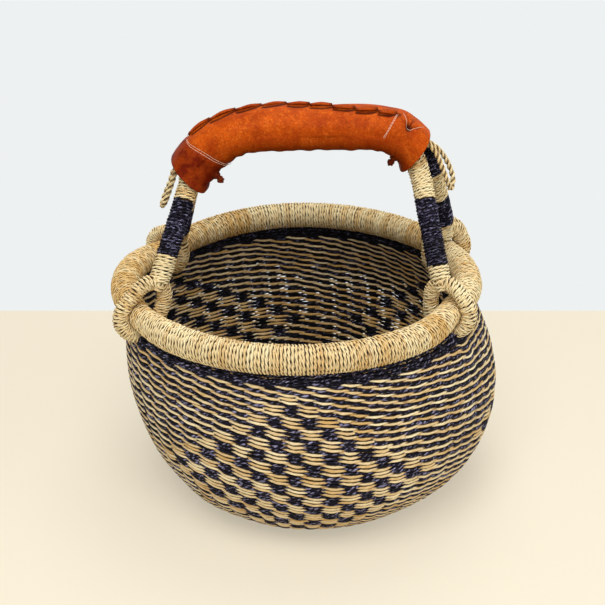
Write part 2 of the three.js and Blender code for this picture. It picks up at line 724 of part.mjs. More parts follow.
makeBowl();
makeRim();
for (const [name, leg] of Object.entries(legs)) {
  makeFoot(name, leg);
  makeBand(name, leg);
}
makeArch("near", nearCurve, legs.near_left, legs.near_right);
makeArch("far", farCurve, legs.far_left, legs.far_right);
makeGrip();
makeLace();
makeKnot("left_thong_knot", leatherStart + 0.11 * (leatherEnd - leatherStart), -68, 10);
makeKnot("right_thong_knot", leatherEnd - 0.075 * (leatherEnd - leatherStart), -68, 9);
makeCordLoops();

export default basket;
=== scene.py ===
"""A hand-woven grass market basket: every woven row, wound strand and strip of leather."""

import math
from functools import partialmethod

import bpy
import numpy as np
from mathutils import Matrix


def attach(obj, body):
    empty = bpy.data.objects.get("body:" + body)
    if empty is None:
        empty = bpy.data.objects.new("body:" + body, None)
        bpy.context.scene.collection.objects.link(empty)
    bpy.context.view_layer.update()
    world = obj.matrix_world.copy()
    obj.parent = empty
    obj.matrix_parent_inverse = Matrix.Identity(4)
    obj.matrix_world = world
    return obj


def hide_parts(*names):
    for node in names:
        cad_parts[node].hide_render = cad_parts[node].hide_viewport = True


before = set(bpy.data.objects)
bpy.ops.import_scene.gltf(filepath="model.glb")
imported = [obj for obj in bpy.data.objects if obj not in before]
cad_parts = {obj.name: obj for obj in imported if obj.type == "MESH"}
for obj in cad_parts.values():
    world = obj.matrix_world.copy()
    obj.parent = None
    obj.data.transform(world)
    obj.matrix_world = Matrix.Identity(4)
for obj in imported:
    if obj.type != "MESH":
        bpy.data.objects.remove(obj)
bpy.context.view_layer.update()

# Sizes are worked out in millimetres, and every mesh is made in metres.
MM = 0.001
UP = np.array([0.0, 0.0, 1.0])
BACK = np.array([0.0, 1.0, 0.0])


# Camera

CAMERA_PLACE = np.array([-6.1, -1005.0, 647.7]) * MM
CAMERA_TARGET = np.array([-6.148, 0.0, 158.39]) * MM
FOCAL_LENGTH = 80.284


def put(name, data):
    """Links some data into the scene as an object."""
    thing = bpy.data.objects.new(name, data)
    bpy.context.scene.collection.objects.link(thing)
    return thing


def aim(thing, place, target):
    """Stands a camera or a lamp in its place, looking at a target."""
    look = np.array(target) - place
    tilt = math.atan2(math.hypot(look[0], look[1]), -look[2])
    thing.location = place
    thing.rotation_euler = (tilt, 0.0, math.atan2(-look[0], look[1]))


def make_camera():
    camera = put("camera", bpy.data.cameras.new("camera"))
    camera.data.lens = FOCAL_LENGTH
    camera.data.clip_start = 0.05
    aim(camera, CAMERA_PLACE, CAMERA_TARGET)
    bpy.context.scene.camera = camera


make_camera()


# Shader kit

def paint(red, green, blue):
    """A colour as seen on screen, 0 to 255, in the linear values that shaders take."""
    levels = np.array([red, green, blue]) / 255
    curved = np.where(levels <= 0.04045, levels / 12.92, ((levels + 0.055) / 1.055) ** 2.4)
    return (*curved.tolist(), 1.0)


class Value:
    """A shader socket that carries a number, and the sums done with it."""

    def __init__(self, shader, socket):
        self.shader = shader
        self.socket = socket

    def maths(self, operation, *others, clamp=False, last=False):
        """A sum with this value first, or last."""
        values = (*others, self) if last else (self, *others)
        settings = {"operation": operation, "use_clamp": clamp}
        return self.shader.node("ShaderNodeMath", settings, values)

    __add__ = __radd__ = partialmethod(maths, "ADD")
    __sub__ = partialmethod(maths, "SUBTRACT")
    __rsub__ = partialmethod(maths, "SUBTRACT", last=True)
    __mul__ = __rmul__ = partialmethod(maths, "MULTIPLY")
    clamped = partialmethod(maths, "ADD", 0.0, clamp=True)
    sine = partialmethod(maths, "SINE")


class Shader:
    """A tree of shader nodes, and the ways of adding to it."""

    def __init__(self, tree):
        self.tree = tree

    def fill(self, target, value):
        if isinstance(value, Value):
            self.tree.links.new(value.socket, target)
        else:
            target.default_value = value

    def node(self, kind, settings=None, sockets=(), output=0):
        """One output of a new node, or several. sockets is a dict by name, or values in order."""
        made = self.tree.nodes.new(kind)
        for setting, value in (settings or {}).items():
            setattr(made, setting, value)
        pairs = sockets.items() if isinstance(sockets, dict) else enumerate(sockets)
        for name, value in pairs:
            self.fill(made.inputs[name], value)
        if isinstance(output, tuple):
            return [Value(self, made.outputs[name]) for name in output]
        return Value(self, made.outputs[output])

    def attributes(self, *names):
        """The values that the mesh carries under these names."""
        kind = "ShaderNodeAttribute"
        return [self.node(kind, {"attribute_name": name}, output="Fac") for name in names]

    def place(self):
        return self.node("ShaderNodeTexCoord", output="Object")

    def strand_map(self):
        """The distance along a strand in metres, and how far round it from 0 to 1."""
        mapped = self.node("ShaderNodeUVMap", {"uv_map": "Strand"})
        return self.node("ShaderNodeSeparateXYZ", sockets=(mapped,), output=("X", "Y"))

    def vector(self, x, y, z):
        return self.node("ShaderNodeCombineXYZ", sockets=(x, y, z))

    def noise(self, vector, scale, detail=3.0, roughness=0.55):
        sockets = {"Vector": vector, "Scale": scale, "Detail": detail, "Roughness": roughness}
        return self.node("ShaderNodeTexNoise", sockets=sockets, output="Fac")

    def ramp(self, value, low, high):
        """0 below low, 1 above high, and smooth between them."""
        sockets = {"Value": value, "From Min": low, "From Max": high}
        return self.node("ShaderNodeMapRange", {"interpolation_type": "SMOOTHSTEP"}, sockets)

    def blend(self, colour, *coats):
        """Coats of colour laid on in turn. Each coat is its share and its colour."""
        for share, coat in coats:
            # The mixing node takes its two colours at 6 and 7, and gives the mixed one at 2.
            sockets = {0: share, 6: colour, 7: coat}
            colour = self.node("ShaderNodeMix", {"data_type": "RGBA"}, sockets, output=2)
        return colour

    def backdrop_rays(self):
        """1 on the rays that look at the backdrop, 0 on those that carry its light."""
        names = ("Is Camera Ray", "Is Glossy Ray", "Is Transmission Ray")
        camera, glossy, transmission = self.node("ShaderNodeLightPath", output=names)
        return (camera + glossy + transmission).clamped()


class Surface(Shader):
    """A material's nodes round its Principled BSDF."""

    def __init__(self, name, **constants):
        self.material = bpy.data.materials.new(name)
        self.material.use_nodes = True
        super().__init__(self.material.node_tree)
        self.surface = self.tree.nodes["Principled BSDF"]
        for socket, constant in constants.items():
            self.surface.inputs[socket.replace("_", " ")].default_value = constant

    def bump(self, height, strength, distance):
        sockets = {"Height": height, "Strength": strength, "Distance": distance}
        self.fill(self.surface.inputs["Normal"], self.node("ShaderNodeBump", sockets=sockets))

    def finish(self, colour, roughness):
        self.fill(self.surface.inputs["Base Color"], colour)
        self.fill(self.surface.inputs["Roughness"], roughness)
        return self.material


# Materials

def grass(name, pale, gold, brown, twist=0.0, cleft=0.0):
    """Grass strand, natural or dyed by its own attribute.

    twist is the fibres' turns a metre. cleft is where round the strand it meets its
    neighbours, in turns, and shade is painted there.
    """
    shader = Surface(name, Specular_IOR_Level=0.12)
    along, around = shader.strand_map()
    tone, dye, sunk = shader.attributes("tone", "dye", "sunk")
    slanted = around + along * twist
    fibre = shader.noise(shader.vector(along * 55, slanted * 7, tone * 31), 1.0, 4.0, 0.6)
    fine = shader.noise(shader.vector(along * 220, slanted * 5, tone * 17), 1.0, 2.0)
    patch = shader.noise(shader.place(), 22.0)
    stain = shader.noise(shader.place(), 75.0, 4.0, 0.65)
    # Painted shade: the strand darkens where it meets its neighbours and where its mesh marks shade.
    edge = ((around + cleft) * math.tau).sine()
    shaded_gaps = shader.ramp(edge * edge + sunk + (fine - 0.5) * 0.6, 0.55, 1.0)
    ripe = tone * 0.42 + (fibre - 0.5) * 1.6 + (patch - 0.5) * 1.1 + 0.42
    stained = shader.ramp(stain, 0.58, 0.76) * 0.7
    natural = shader.blend(
        pale, (ripe.clamped(), gold), (stained, brown), (shaded_gaps * 0.88, paint(72, 42, 16))
    )
    depth = tone * 0.25 + (fibre - 0.5) * 1.6 + 0.35
    faded = shader.ramp(patch, 0.5, 0.75) * 0.5
    # Painted glints: pale specks on the dyed fibres stand in for highlights.
    fibre_glints = shader.ramp(fine, 0.54, 0.64) * (0.6 + tone * 0.25).clamped()
    dyed = shader.blend(
        paint(4, 3, 7), (depth.clamped(), paint(31, 27, 46)), (faded, paint(14, 16, 25)),
        (fibre_glints, paint(172, 168, 208)), (shaded_gaps * 0.9, paint(3, 2, 4)),
    )
    shader.bump(fibre * 0.5 + fine * 0.5, 0.7, 0.0005)
    return shader.finish(shader.blend(natural, (dye, dyed)), 0.58 + fibre * 0.28)


def stalks(name):
    """The stalk bundles inside the wrappings, painted dark as the shade in the gaps between turns."""
    shader = Surface(name, Specular_IOR_Level=0.25)
    streak = shader.noise(shader.place(), 320.0)
    shader.bump(streak, 0.5, 0.0005)
    colour = shader.blend(paint(50, 36, 22), (streak, paint(84, 62, 36)))
    return shader.finish(colour, 0.7 + streak * 0.2)


def hide(name, bright, middle, dark, shadow):
    """Vegetable-tanned leather. Its own attributes say where it is stained, and where shade is
    painted.
    """
    shader = Surface(name, Specular_IOR_Level=0.06)
    place = shader.place()
    cap, under, crease = shader.attributes("cap", "under", "crease")
    cloud = shader.noise(place, 30.0, 4.0, 0.6)
    mottle = shader.noise(place, 120.0, 4.0, 0.65)
    grain = shader.noise(place, 420.0, 3.0, 0.6)
    pore = shader.noise(place, 650.0, 2.0)
    lit = shader.ramp(cloud * 0.5 + mottle * 0.3 + grain * 0.2, 0.33, 0.67)
    flecks = shader.ramp(pore, 0.52, 0.62) * lit * 0.6
    # Painted shade: darker on the underside, and, in the last coat, in the creases.
    shaded = under + (mottle - 0.5) * under * 1.6
    stained = cap * (0.75 + (mottle - 0.5) * 2.2 + (cloud - 0.5) * 1.6)
    specks = shader.ramp(grain, 0.52, 0.66) * 0.38
    colour = shader.blend(
        middle, (lit, bright), (flecks, paint(228, 122, 40)), (shaded.clamped(), dark),
        (stained.clamped(), shadow), (specks, dark), ((crease * 0.9).clamped(), paint(40, 8, 3)),
    )
    shader.bump(pore * 0.2 + grain * 0.3 + mottle * 0.5, 0.5, 0.0008)
    return shader.finish(colour, 0.42 + mottle * 0.25)


def spun_thread(name):
    """Thin thread whose plies show as slanting lines."""
    shader = Surface(name, Specular_IOR_Level=0.3)
    along, around = shader.strand_map()
    ply = ((along * 2600 + around * math.tau).sine() * 0.5 + 0.5).clamped()
    shader.bump(ply, 0.4, 0.0002)
    # Painted shade: the thread is darker in the grooves between its plies.
    colour = shader.blend(paint(214, 160, 130), (ply, paint(246, 214, 190)))
    return shader.finish(colour, 0.7 + ply * 0.1)


woven_grass = grass(
    "woven_grass", paint(250, 232, 190), paint(212, 172, 108), paint(144, 92, 46),
    twist=70.0, cleft=0.25,
)
wound_grass = grass("wound_grass", paint(252, 236, 190), paint(216, 174, 106), paint(146, 88, 38))
stalk_bundle = stalks("stalk_bundle")
tan_leather = hide(
    "tan_leather", paint(208, 88, 10), paint(156, 52, 2), paint(80, 18, 1), paint(106, 24, 2)
)
dark_leather = hide(
    "dark_leather", paint(140, 48, 16), paint(96, 28, 8), paint(54, 14, 5), paint(54, 14, 5)
)
pale_thread = spun_thread("pale_thread")


# Sums on numbers and directions

def unit(vectors):
    return vectors / np.linalg.norm(vectors, axis=-1, keepdims=True)


def dot(first, second):
    return np.sum(first * second, axis=-1, keepdims=True)


def square_to(path, side):
    """A side direction set square to a path, and the direction square to both."""
    side = unit(side - path * dot(side, path))
    return side, np.cross(path, side)


def swung(first, second, angle):
    """The direction at an angle from the first one towards the second."""
    return first * np.cos(angle)[:, None] + second * np.sin(angle)[:, None]


def tangents(points, closed=False):
    if closed:
        return unit(np.roll(points, -1, axis=0) - np.roll(points, 1, axis=0))
    return unit(np.gradient(points, axis=0))


def travelled(points):
    """The distance along a line at each of its points."""
    steps = np.linalg.norm(np.diff(points, axis=0), axis=1)
    return np.concatenate([[0.0], np.cumsum(steps)])


def fade(value, start, end):
    """0 up to the start, 1 past the end, and straight between them."""
    return np.clip((value - start) / (end - start), 0, 1)


def bell(value, width, power=2):
    """1 at 0, and falling away on both sides."""
    return np.exp(-((value / width) ** power))


def turn_between(start, end):
    """Degrees from one direction to another, the short way."""
    return np.mod(end - start + 180.0, 360.0) - 180.0


def towards(direction, degrees, spread, power=2):
    """1 in a direction, and falling away on both sides of it."""
    return bell(turn_between(direction, degrees), spread, power)


# Mesh kit

def face_corners(left, right, low, high):
    """The places of every face's four corners in a map, from the edges of its rows."""
    pairs = [(left, low), (left, high), (right, high), (right, low)]
    corners = [np.stack(np.broadcast_arrays(*pair), axis=-1) for pair in pairs]
    return np.stack(corners, axis=2).reshape(-1, 2)


class Mesh:
    """Sheets of rings gathered into one object, with their maps and attributes."""

    def __init__(self):
        self.points = []
        self.faces = []
        self.strand = []
        self.strips = []
        self.values = {}
        self.count = 0

    def add(self, rings, closed=False, **values):
        """rings is stations x sides x 3. Each ring closes on itself."""
        stations, sides, _ = rings.shape
        ids = self.count + np.arange(stations * sides).reshape(stations, sides)
        middle = rings.mean(axis=1)
        if closed:
            ids = np.vstack([ids, ids[:1]])
            middle = np.vstack([middle, middle[:1]])
        right = np.roll(ids, -1, axis=1)
        self.faces.append(np.stack([ids[:-1], right[:-1], right[1:], ids[1:]], -1).reshape(-1, 4))
        self.points.append(rings.reshape(-1, 3))
        along = travelled(middle) * MM
        around = np.arange(sides + 1) / sides
        self.strand.append(face_corners(along[:-1, None], along[1:, None], around[:-1], around[1:]))
        edges = np.diff(rings, axis=1, append=rings[:, :1])
        girth = np.linalg.norm(edges, axis=2).sum(axis=1).mean() * MM
        self.strips.append((len(ids) - 1, sides, along[-1], along[-1] * girth))
        for name, value in values.items():
            column = value if np.ndim(value) == 2 else np.reshape(value, (-1, 1))
            spread = np.broadcast_to(column, (stations, sides)).astype(float)
            self.values.setdefault(name, []).append(spread.reshape(-1))
        self.count += stations * sides
        return self

    def bake_map(self):
        """Lays the strands side by side in strips, so that no two faces share a place."""
        strip_length = math.sqrt(sum(area for *_, area in self.strips))
        rows = 0
        maps = []
        for segments, sides, length, _ in self.strips:
            parts = min(segments, math.ceil(length / strip_length))
            cuts = np.linspace(0, segments, parts + 1).round().astype(int)
            part = np.searchsorted(cuts, np.arange(segments), side="right") - 1
            longest = np.diff(cuts).max()
            start = ((np.arange(segments) - cuts[part]) / longest)[:, None]
            left, right = (0.002 + 0.996 * share for share in (start, start + 1 / longest))
            edges = (rows + part)[:, None] + (0.08 + 0.84 * np.arange(sides + 1) / sides)
            maps.append(face_corners(left, right, edges[:, :-1], edges[:, 1:]))
            rows += parts
        return np.concatenate(maps) / (1, rows)

    def make(self, name, material, *nodes, slot):
        """The mesh as a piece that stands for its nodes."""
        faces = np.concatenate(self.faces)
        data = bpy.data.meshes.new(name)
        data.vertices.add(self.count)
        data.vertices.foreach_set("co", np.concatenate(self.points).reshape(-1) * MM)
        data.loops.add(faces.size)
        data.loops.foreach_set("vertex_index", faces.reshape(-1))
        data.polygons.add(len(faces))
        data.polygons.foreach_set("loop_start", np.arange(0, faces.size, 4))
        data.polygons.foreach_set("use_smooth", np.ones(len(faces), bool))
        data.update(calc_edges=True)
        for title, places in (("Strand", np.concatenate(self.strand)), ("OFBake", self.bake_map())):
            data.uv_layers.new(name=title).data.foreach_set("uv", places.reshape(-1))
        for attribute, parts in self.values.items():
            layer = data.attributes.new(attribute, "FLOAT", "POINT")
            layer.data.foreach_set("value", np.concatenate(parts))
        data.validate()
        data.materials.append(material)
        piece = put(name, data)
        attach(piece, "root")
        if nodes:
            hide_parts(*nodes)
        return piece


def round_ring(centres, first, second, half_first, half_second, sides):
    """Rings of points round a line of centres. first and second are the section's axes."""
    turn = math.tau * np.arange(sides)[:, None] / sides
    across = (first * np.reshape(half_first, (-1, 1)))[:, None] * np.cos(turn)
    outward = (second * np.reshape(half_second, (-1, 1)))[:, None] * np.sin(turn)
    return centres[:, None] + across + outward


class Line:
    """A line in space with a sideways direction, read at distances along it."""

    def __init__(self, points, side):
        self.distance = travelled(points)
        self.length = self.distance[-1]
        self.columns = np.hstack([points, np.broadcast_to(side, points.shape)]).T

    def at(self, distance):
        values = np.stack([np.interp(distance, self.distance, row) for row in self.columns], -1)
        return values[:, :3], unit(values[:, 3:])


class Spline:
    """A centripetal Catmull-Rom line through points, read at 0 to 1."""

    def __init__(self, points):
        points = np.array(points, float)
        self.spans = len(points) - 1
        knots = np.vstack([2 * points[0] - points[1], points, 2 * points[-1] - points[-2]])
        steps = np.diff(knots, axis=0)
        gaps = np.sum(steps**2, axis=1, keepdims=True) ** 0.25
        slopes = steps / gaps
        across = (knots[2:] - knots[:-2]) / (gaps[:-1] + gaps[1:])
        slopes = slopes[:-1] - across + slopes[1:]
        leave = slopes[:-1] * gaps[1:-1]
        arrive = slopes[1:] * gaps[1:-1]
        step = steps[1:-1]
        bend = 3 * step - 2 * leave - arrive
        curl = leave + arrive - 2 * step
        self.pieces = np.stack([points[:-1], leave, bend, curl])

    def at(self, share):
        place = np.clip(share, 0, 1) * self.spans
        span = np.minimum(place.astype(int), self.spans - 1)
        part = (place - span)[:, None]
        start, leave, bend, curl = self.pieces[:, span]
        return start + part * (leave + part * (bend + part * curl))

    def forward(self, share):
        return unit(self.at(np.minimum(share + 1e-4, 1)) - self.at(np.maximum(share - 1e-4, 0)))


# Bowl

BASE_RADIUS = 80.0
BELLY_RADIUS = 153.0
BELLY_HEIGHT = 105.0
WALL_THICKNESS = 5.0
RIM_RADIUS = 140.0
RIM_HEIGHT = 180.0
RIM_ROLL_RADIUS = 11.65
GAP = 0.35
RIM_LEAN = -11.0
BELLY_LEAN = 9.5
RIM_DIP = 7.0
RIM_DIP_ANGLE = 137.0
RIM_DIP_SPREAD = 30.0
FOOT_SQUEEZE = 1.6
FOOT_SPREAD = 12.0
WALL_TOP = RIM_HEIGHT - RIM_ROLL_RADIUS - GAP
WALL_TOP_RADIUS = RIM_RADIUS + WALL_THICKNESS / 2
UPPER_CURVE = 1.8
PROFILE_POINTS = 60

# Each leg of the handle: -1 near or 1 far, -1 left or 1 right, its direction on the rim, how
# far the rim is pulled in there, where its fork stands above and inside the rim, where its
# shoulder lies past the grip's end and below it, its lengths of plain and of dyed winding,
# the web in its fork, and how swollen its foot is.
LEG_SIZES = (
    "depth", "hand", "angle", "pull", "rise", "inset", "reach", "drop", "plain", "band", "web", "swell"
)
LEG_ROWS = {
    "near_left": (-1, -1, 209.0, 1.0, 24.0, 17.0, -5.0, 37.5, 22.0, 46.0, 5.5, 0.0),
    "near_right": (-1, 1, 332.7, 5.0, 24.0, 8.7, 1.5, 37.5, 13.0, 53.5, 5.5, 0.0),
    "far_left": (1, -1, 147.0, 5.0, 15.0, 13.0, -4.0, 37.5, 12.0, 34.0, 6.0, 0.0),
    "far_right": (1, 1, 24.5, -1.0, 24.0, 2.0, 9.0, 28.5, 7.0, 35.0, 12.0, 1.4),
}
LEGS = {name: dict(zip(LEG_SIZES, row)) for name, row in LEG_ROWS.items()}


def dip_at(degrees):
    return RIM_DIP * towards(RIM_DIP_ANGLE, degrees, RIM_DIP_SPREAD)


def bowl_profile():
    """The middle of the weave from the rim down to the centre of the base.

    Returns the distance down from the rim, radius, height and the outward direction.
    """
    left = np.linspace(1, 0, PROFILE_POINTS)
    draw = BELLY_RADIUS - WALL_TOP_RADIUS
    rise = WALL_TOP - BELLY_HEIGHT
    upper = (BELLY_RADIUS - draw * left**UPPER_CURVE, BELLY_HEIGHT + rise * left)
    upper_out = (np.ones(len(left)), draw * UPPER_CURVE * left ** (UPPER_CURVE - 1) / rise)
    angle = np.linspace(0, math.pi / 2, 2 * PROFILE_POINTS)[1:]
    width = BELLY_RADIUS - BASE_RADIUS
    lower = (BASE_RADIUS + width * np.cos(angle), BELLY_HEIGHT * (1 - np.sin(angle)))
    lower_out = (np.cos(angle) / width, -np.sin(angle) / BELLY_HEIGHT)
    radius = np.linspace(BASE_RADIUS, 0, PROFILE_POINTS)[1:]
    flat = np.zeros(len(radius))
    outer = np.hstack([upper, lower, (radius, flat)]).T
    outward = unit(np.hstack([upper_out, lower_out, (flat, flat - 1)]).T)
    middle = outer - outward * WALL_THICKNESS / 2
    return (travelled(outer), *middle.T, *outward.T)


PROFILE = bowl_profile()
BASE_EDGE = PROFILE[0][-PROFILE_POINTS]
BASE_CENTRE = PROFILE[0][-1]

# Slow unevenness of the hand weaving: waves round and waves down, with their sizes. The waves
# of the rows come first, and those that swell the wall after them.
WAVES = [(3, 0.012, 0.9), (5, 0.03, 0.6), (9, 0.05, 0.45), (14, 0.09, 0.3), (23, 0.13, 0.2)]
WAVES += [(4, 0.02, 0.7), (7, 0.035, 0.5), (11, 0.06, 0.35)]
PHASES = np.random.default_rng(7).uniform(0, math.tau, len(WAVES))
ROW_WAVES = slice(0, 5)
SWELL_WAVES = slice(5, 8)

# Below the holes that the feet go through, the top rows crowd together.
FOOT_PUSH = 4.0
FOOT_PUSH_WIDTH = 9.0
FOOT_PUSH_DEPTH = 34.0


def waves(which, degrees, down):
    """The sum of some waves. They are calm at the border and where the base begins."""
    total = 0.0
    for (count, pace, size), phase in zip(WAVES[which], PHASES[which]):
        total = total + size * np.sin(count * np.radians(degrees) + pace * down + phase)
    return total * fade(down, BASE_EDGE, BASE_EDGE - 60) * fade(down, 0, 25)


def press_under_feet(degrees, down):
    """The distance down the wall of rows that the feet push downwards."""
    moved = down
    for leg in LEGS.values():
        across = np.radians(turn_between(leg["angle"], degrees)) * WALL_TOP_RADIUS
        push = FOOT_PUSH * bell(across, FOOT_PUSH_WIDTH, 4)
        moved = moved + push * fade(down, FOOT_PUSH_DEPTH, 0)
    return moved


def profile_at(down, columns):
    return [np.interp(down, PROFILE[0], column) for column in columns]


def bowl_point(degrees, down, out=0.0, up=0.0):
    """A point of the weave, moved out of the wall and up along it."""
    degrees, down = np.broadcast_arrays(degrees, down)
    moved = down - up + waves(ROW_WAVES, degrees, down)
    moved = np.clip(press_under_feet(degrees, moved), 0, BASE_CENTRE)
    radius, height, out_r, out_z = profile_at(moved, PROFILE[1:])
    proud = out + waves(SWELL_WAVES, degrees, down)
    radius = radius + out_r * proud
    height = height + out_z * proud
    share = height / WALL_TOP
    lean = RIM_LEAN * share + 4 * BELLY_LEAN * share * (1 - share)
    sink = dip_at(degrees) * np.clip(share, 0, None) ** 2
    angle = np.radians(degrees)
    return np.stack([radius * np.cos(angle) + lean, radius * np.sin(angle), height - sink], -1)


def bowl_outward(degrees, down):
    out_r, out_z = profile_at(down, PROFILE[3:])
    angle = np.radians(degrees)
    return np.stack([out_r * np.cos(angle), out_r * np.sin(angle), out_z], axis=-1)


# Pattern

# A dark border, then light and dark floats set like a draughtboard, which run together into
# slanting stripes, with three diamonds of larger blocks.
STAKES = 60
BORDER_ROWS = 3
DIAMOND_TOP_ROW = 5
BLOCK_ROWS = 3
DIAMOND_CENTRES = (-20, 0, 20)
DIAMOND_REACH = 8

# The stakes are set by hand and stand unevenly: stake numbers and their directions.
STAKE_NUMBERS = (-30, -25, -20, -15, -10, -5, -3, 0, 3, 5, 7, 10, 15, 20, 25, 30)
STAKE_DEGREES = (
    85.1, 115.9, 147.3, 175.0, 203.4, 236.7, 248.5, 263.8,
    280.2, 289.7, 299.4, 317.9, 354.5, 388.3, 416.3, 445.1,
)

# On one side they lean to the right on their way up.
LEAN_DIRECTION = 238.0
LEAN_SPREAD = 38.0
LEAN_DEGREES = 2.3

# The rows sink below a level line here and climb above it there: directions and millimetres.
DRIFT_DEGREES = (20, 60, 90, 120, 150, 180, 205, 220, 240, 265, 280, 300, 315, 330, 350)
DRIFT_SINK = (-2, -5, 0, 2, 2, 4, 7, 3, 0, 0, -2, -7.5, -7, -3, 0)
DRIFT_START = 9.0
DRIFT_FULL = 50.0

# Rows are closest in the border, close under it, and wider on the belly.
BORDER_PITCH = 2.8
UPPER_PITCH = 3.05
PITCH_GROWTH = 0.45

# Past these distances down, only one stake in so many goes on to the middle of the base.
STAKE_ENDS = ((BASE_EDGE + 30, 2), (BASE_EDGE + 54, 5))


def row_places():
    """Distances down the wall of all rows, and their heights."""
    places = []
    down = 0.2
    while down < BASE_CENTRE - 2:
        pitch = BORDER_PITCH
        if len(places) >= BORDER_ROWS:
            pitch = UPPER_PITCH + PITCH_GROWTH * fade(down, 25, 70)
        places.append((down + pitch / 2, pitch))
        down += pitch
    return places


ROWS = row_places()


def stake_direction(stake, down):
    """The direction of a stake at some distance down the wall."""
    turns = np.floor((stake + STAKES / 2) / STAKES)
    degrees = np.interp(stake - turns * STAKES, STAKE_NUMBERS, STAKE_DEGREES) + 360 * turns
    leaning = towards(LEAN_DIRECTION, degrees, LEAN_SPREAD, 4)
    return degrees + LEAN_DEGREES * leaning * np.clip((90 - down) / 60, 0, 1.2)


def row_drift(degrees, down):
    """How far a row sinks below its level line, and how much its height grows with that."""
    sink = np.interp(degrees, DRIFT_DEGREES, DRIFT_SINK, period=360)
    share = fade(down, DRIFT_START, DRIFT_START + DRIFT_FULL)
    growth = np.where((share > 0) & (share < 1), sink / DRIFT_FULL, 0)
    return sink * share * fade(down, BASE_EDGE + 20, BASE_EDGE - 40), growth


def dark_outside(row, stake):
    """Whether the float over each stake shows dark on the outside."""
    if row < BORDER_ROWS:
        return np.ones(len(stake), bool)
    dark = (row + stake) % 2 == 0
    block = (row - DIAMOND_TOP_ROW) // BLOCK_ROWS
    for centre in DIAMOND_CENTRES:
        column = (stake - centre + STAKES // 2) % STAKES - STAKES // 2
        reach = min(block, 2 * DIAMOND_REACH - block)
        dark = np.where(np.abs(column) <= reach, (column + block) % 2 == 1, dark)
    return dark


# Weave

STEP_PLACES = np.array([-0.5, -0.43, -0.32, -0.15, 0.0, 0.15, 0.32, 0.43])
WEAVE_SIDES = 6
FACING = np.round(np.sin(math.tau * np.arange(WEAVE_SIDES) / WEAVE_SIDES), 3)
STRAND_SWING = 1.25
STRAND_HALF = 1.3
CROSSING_HALF = 1.8
CROSSING_STRAY = 0.09
SLANT = 0.25
SAG = 0.12
FLOAT_BEND = 0.985
HELD_CURVE = 0.85
TOP_ROW_LIFT = 0.3

# How uneven the floats are: their width, and the sag of a pair and of each strand.
WIDTH_SCATTER = 0.04
PAIR_SAG_SCATTER = 0.04
STRAND_SAG_SCATTER = 0.05

# How wide floats are for their row: dyed ones, and natural ones inside and outside.
DYED_WIDTH = 1.05
INSIDE_WIDTH = 0.86
OUTSIDE_WIDTH = 0.93

# How much of its row's height each strand fills at a crossing.
PINCH = 0.31
BORDER_PINCH = 0.34

# Some crossings of the back wall stand open, so that light shows through.
OPEN_DIRECTION = 85.0
OPEN_SPREAD = 62.0
OPEN_CHANCE = 0.19
OPEN_PINCH = 0.2
OPEN_HALF = 0.8
OPEN_SLANT = 0.09

# Each length of grass has a tone of its own, and inside the bowl the dyed strands are darker: painted
# shade.
LENGTH_TONES = np.random.default_rng(77).normal(0, 1, 4096)
LENGTH_TONE_SIZE = 0.5
STRAND_TONE_SIZE = 0.15
INSIDE_DYED_SHADE = -1.6


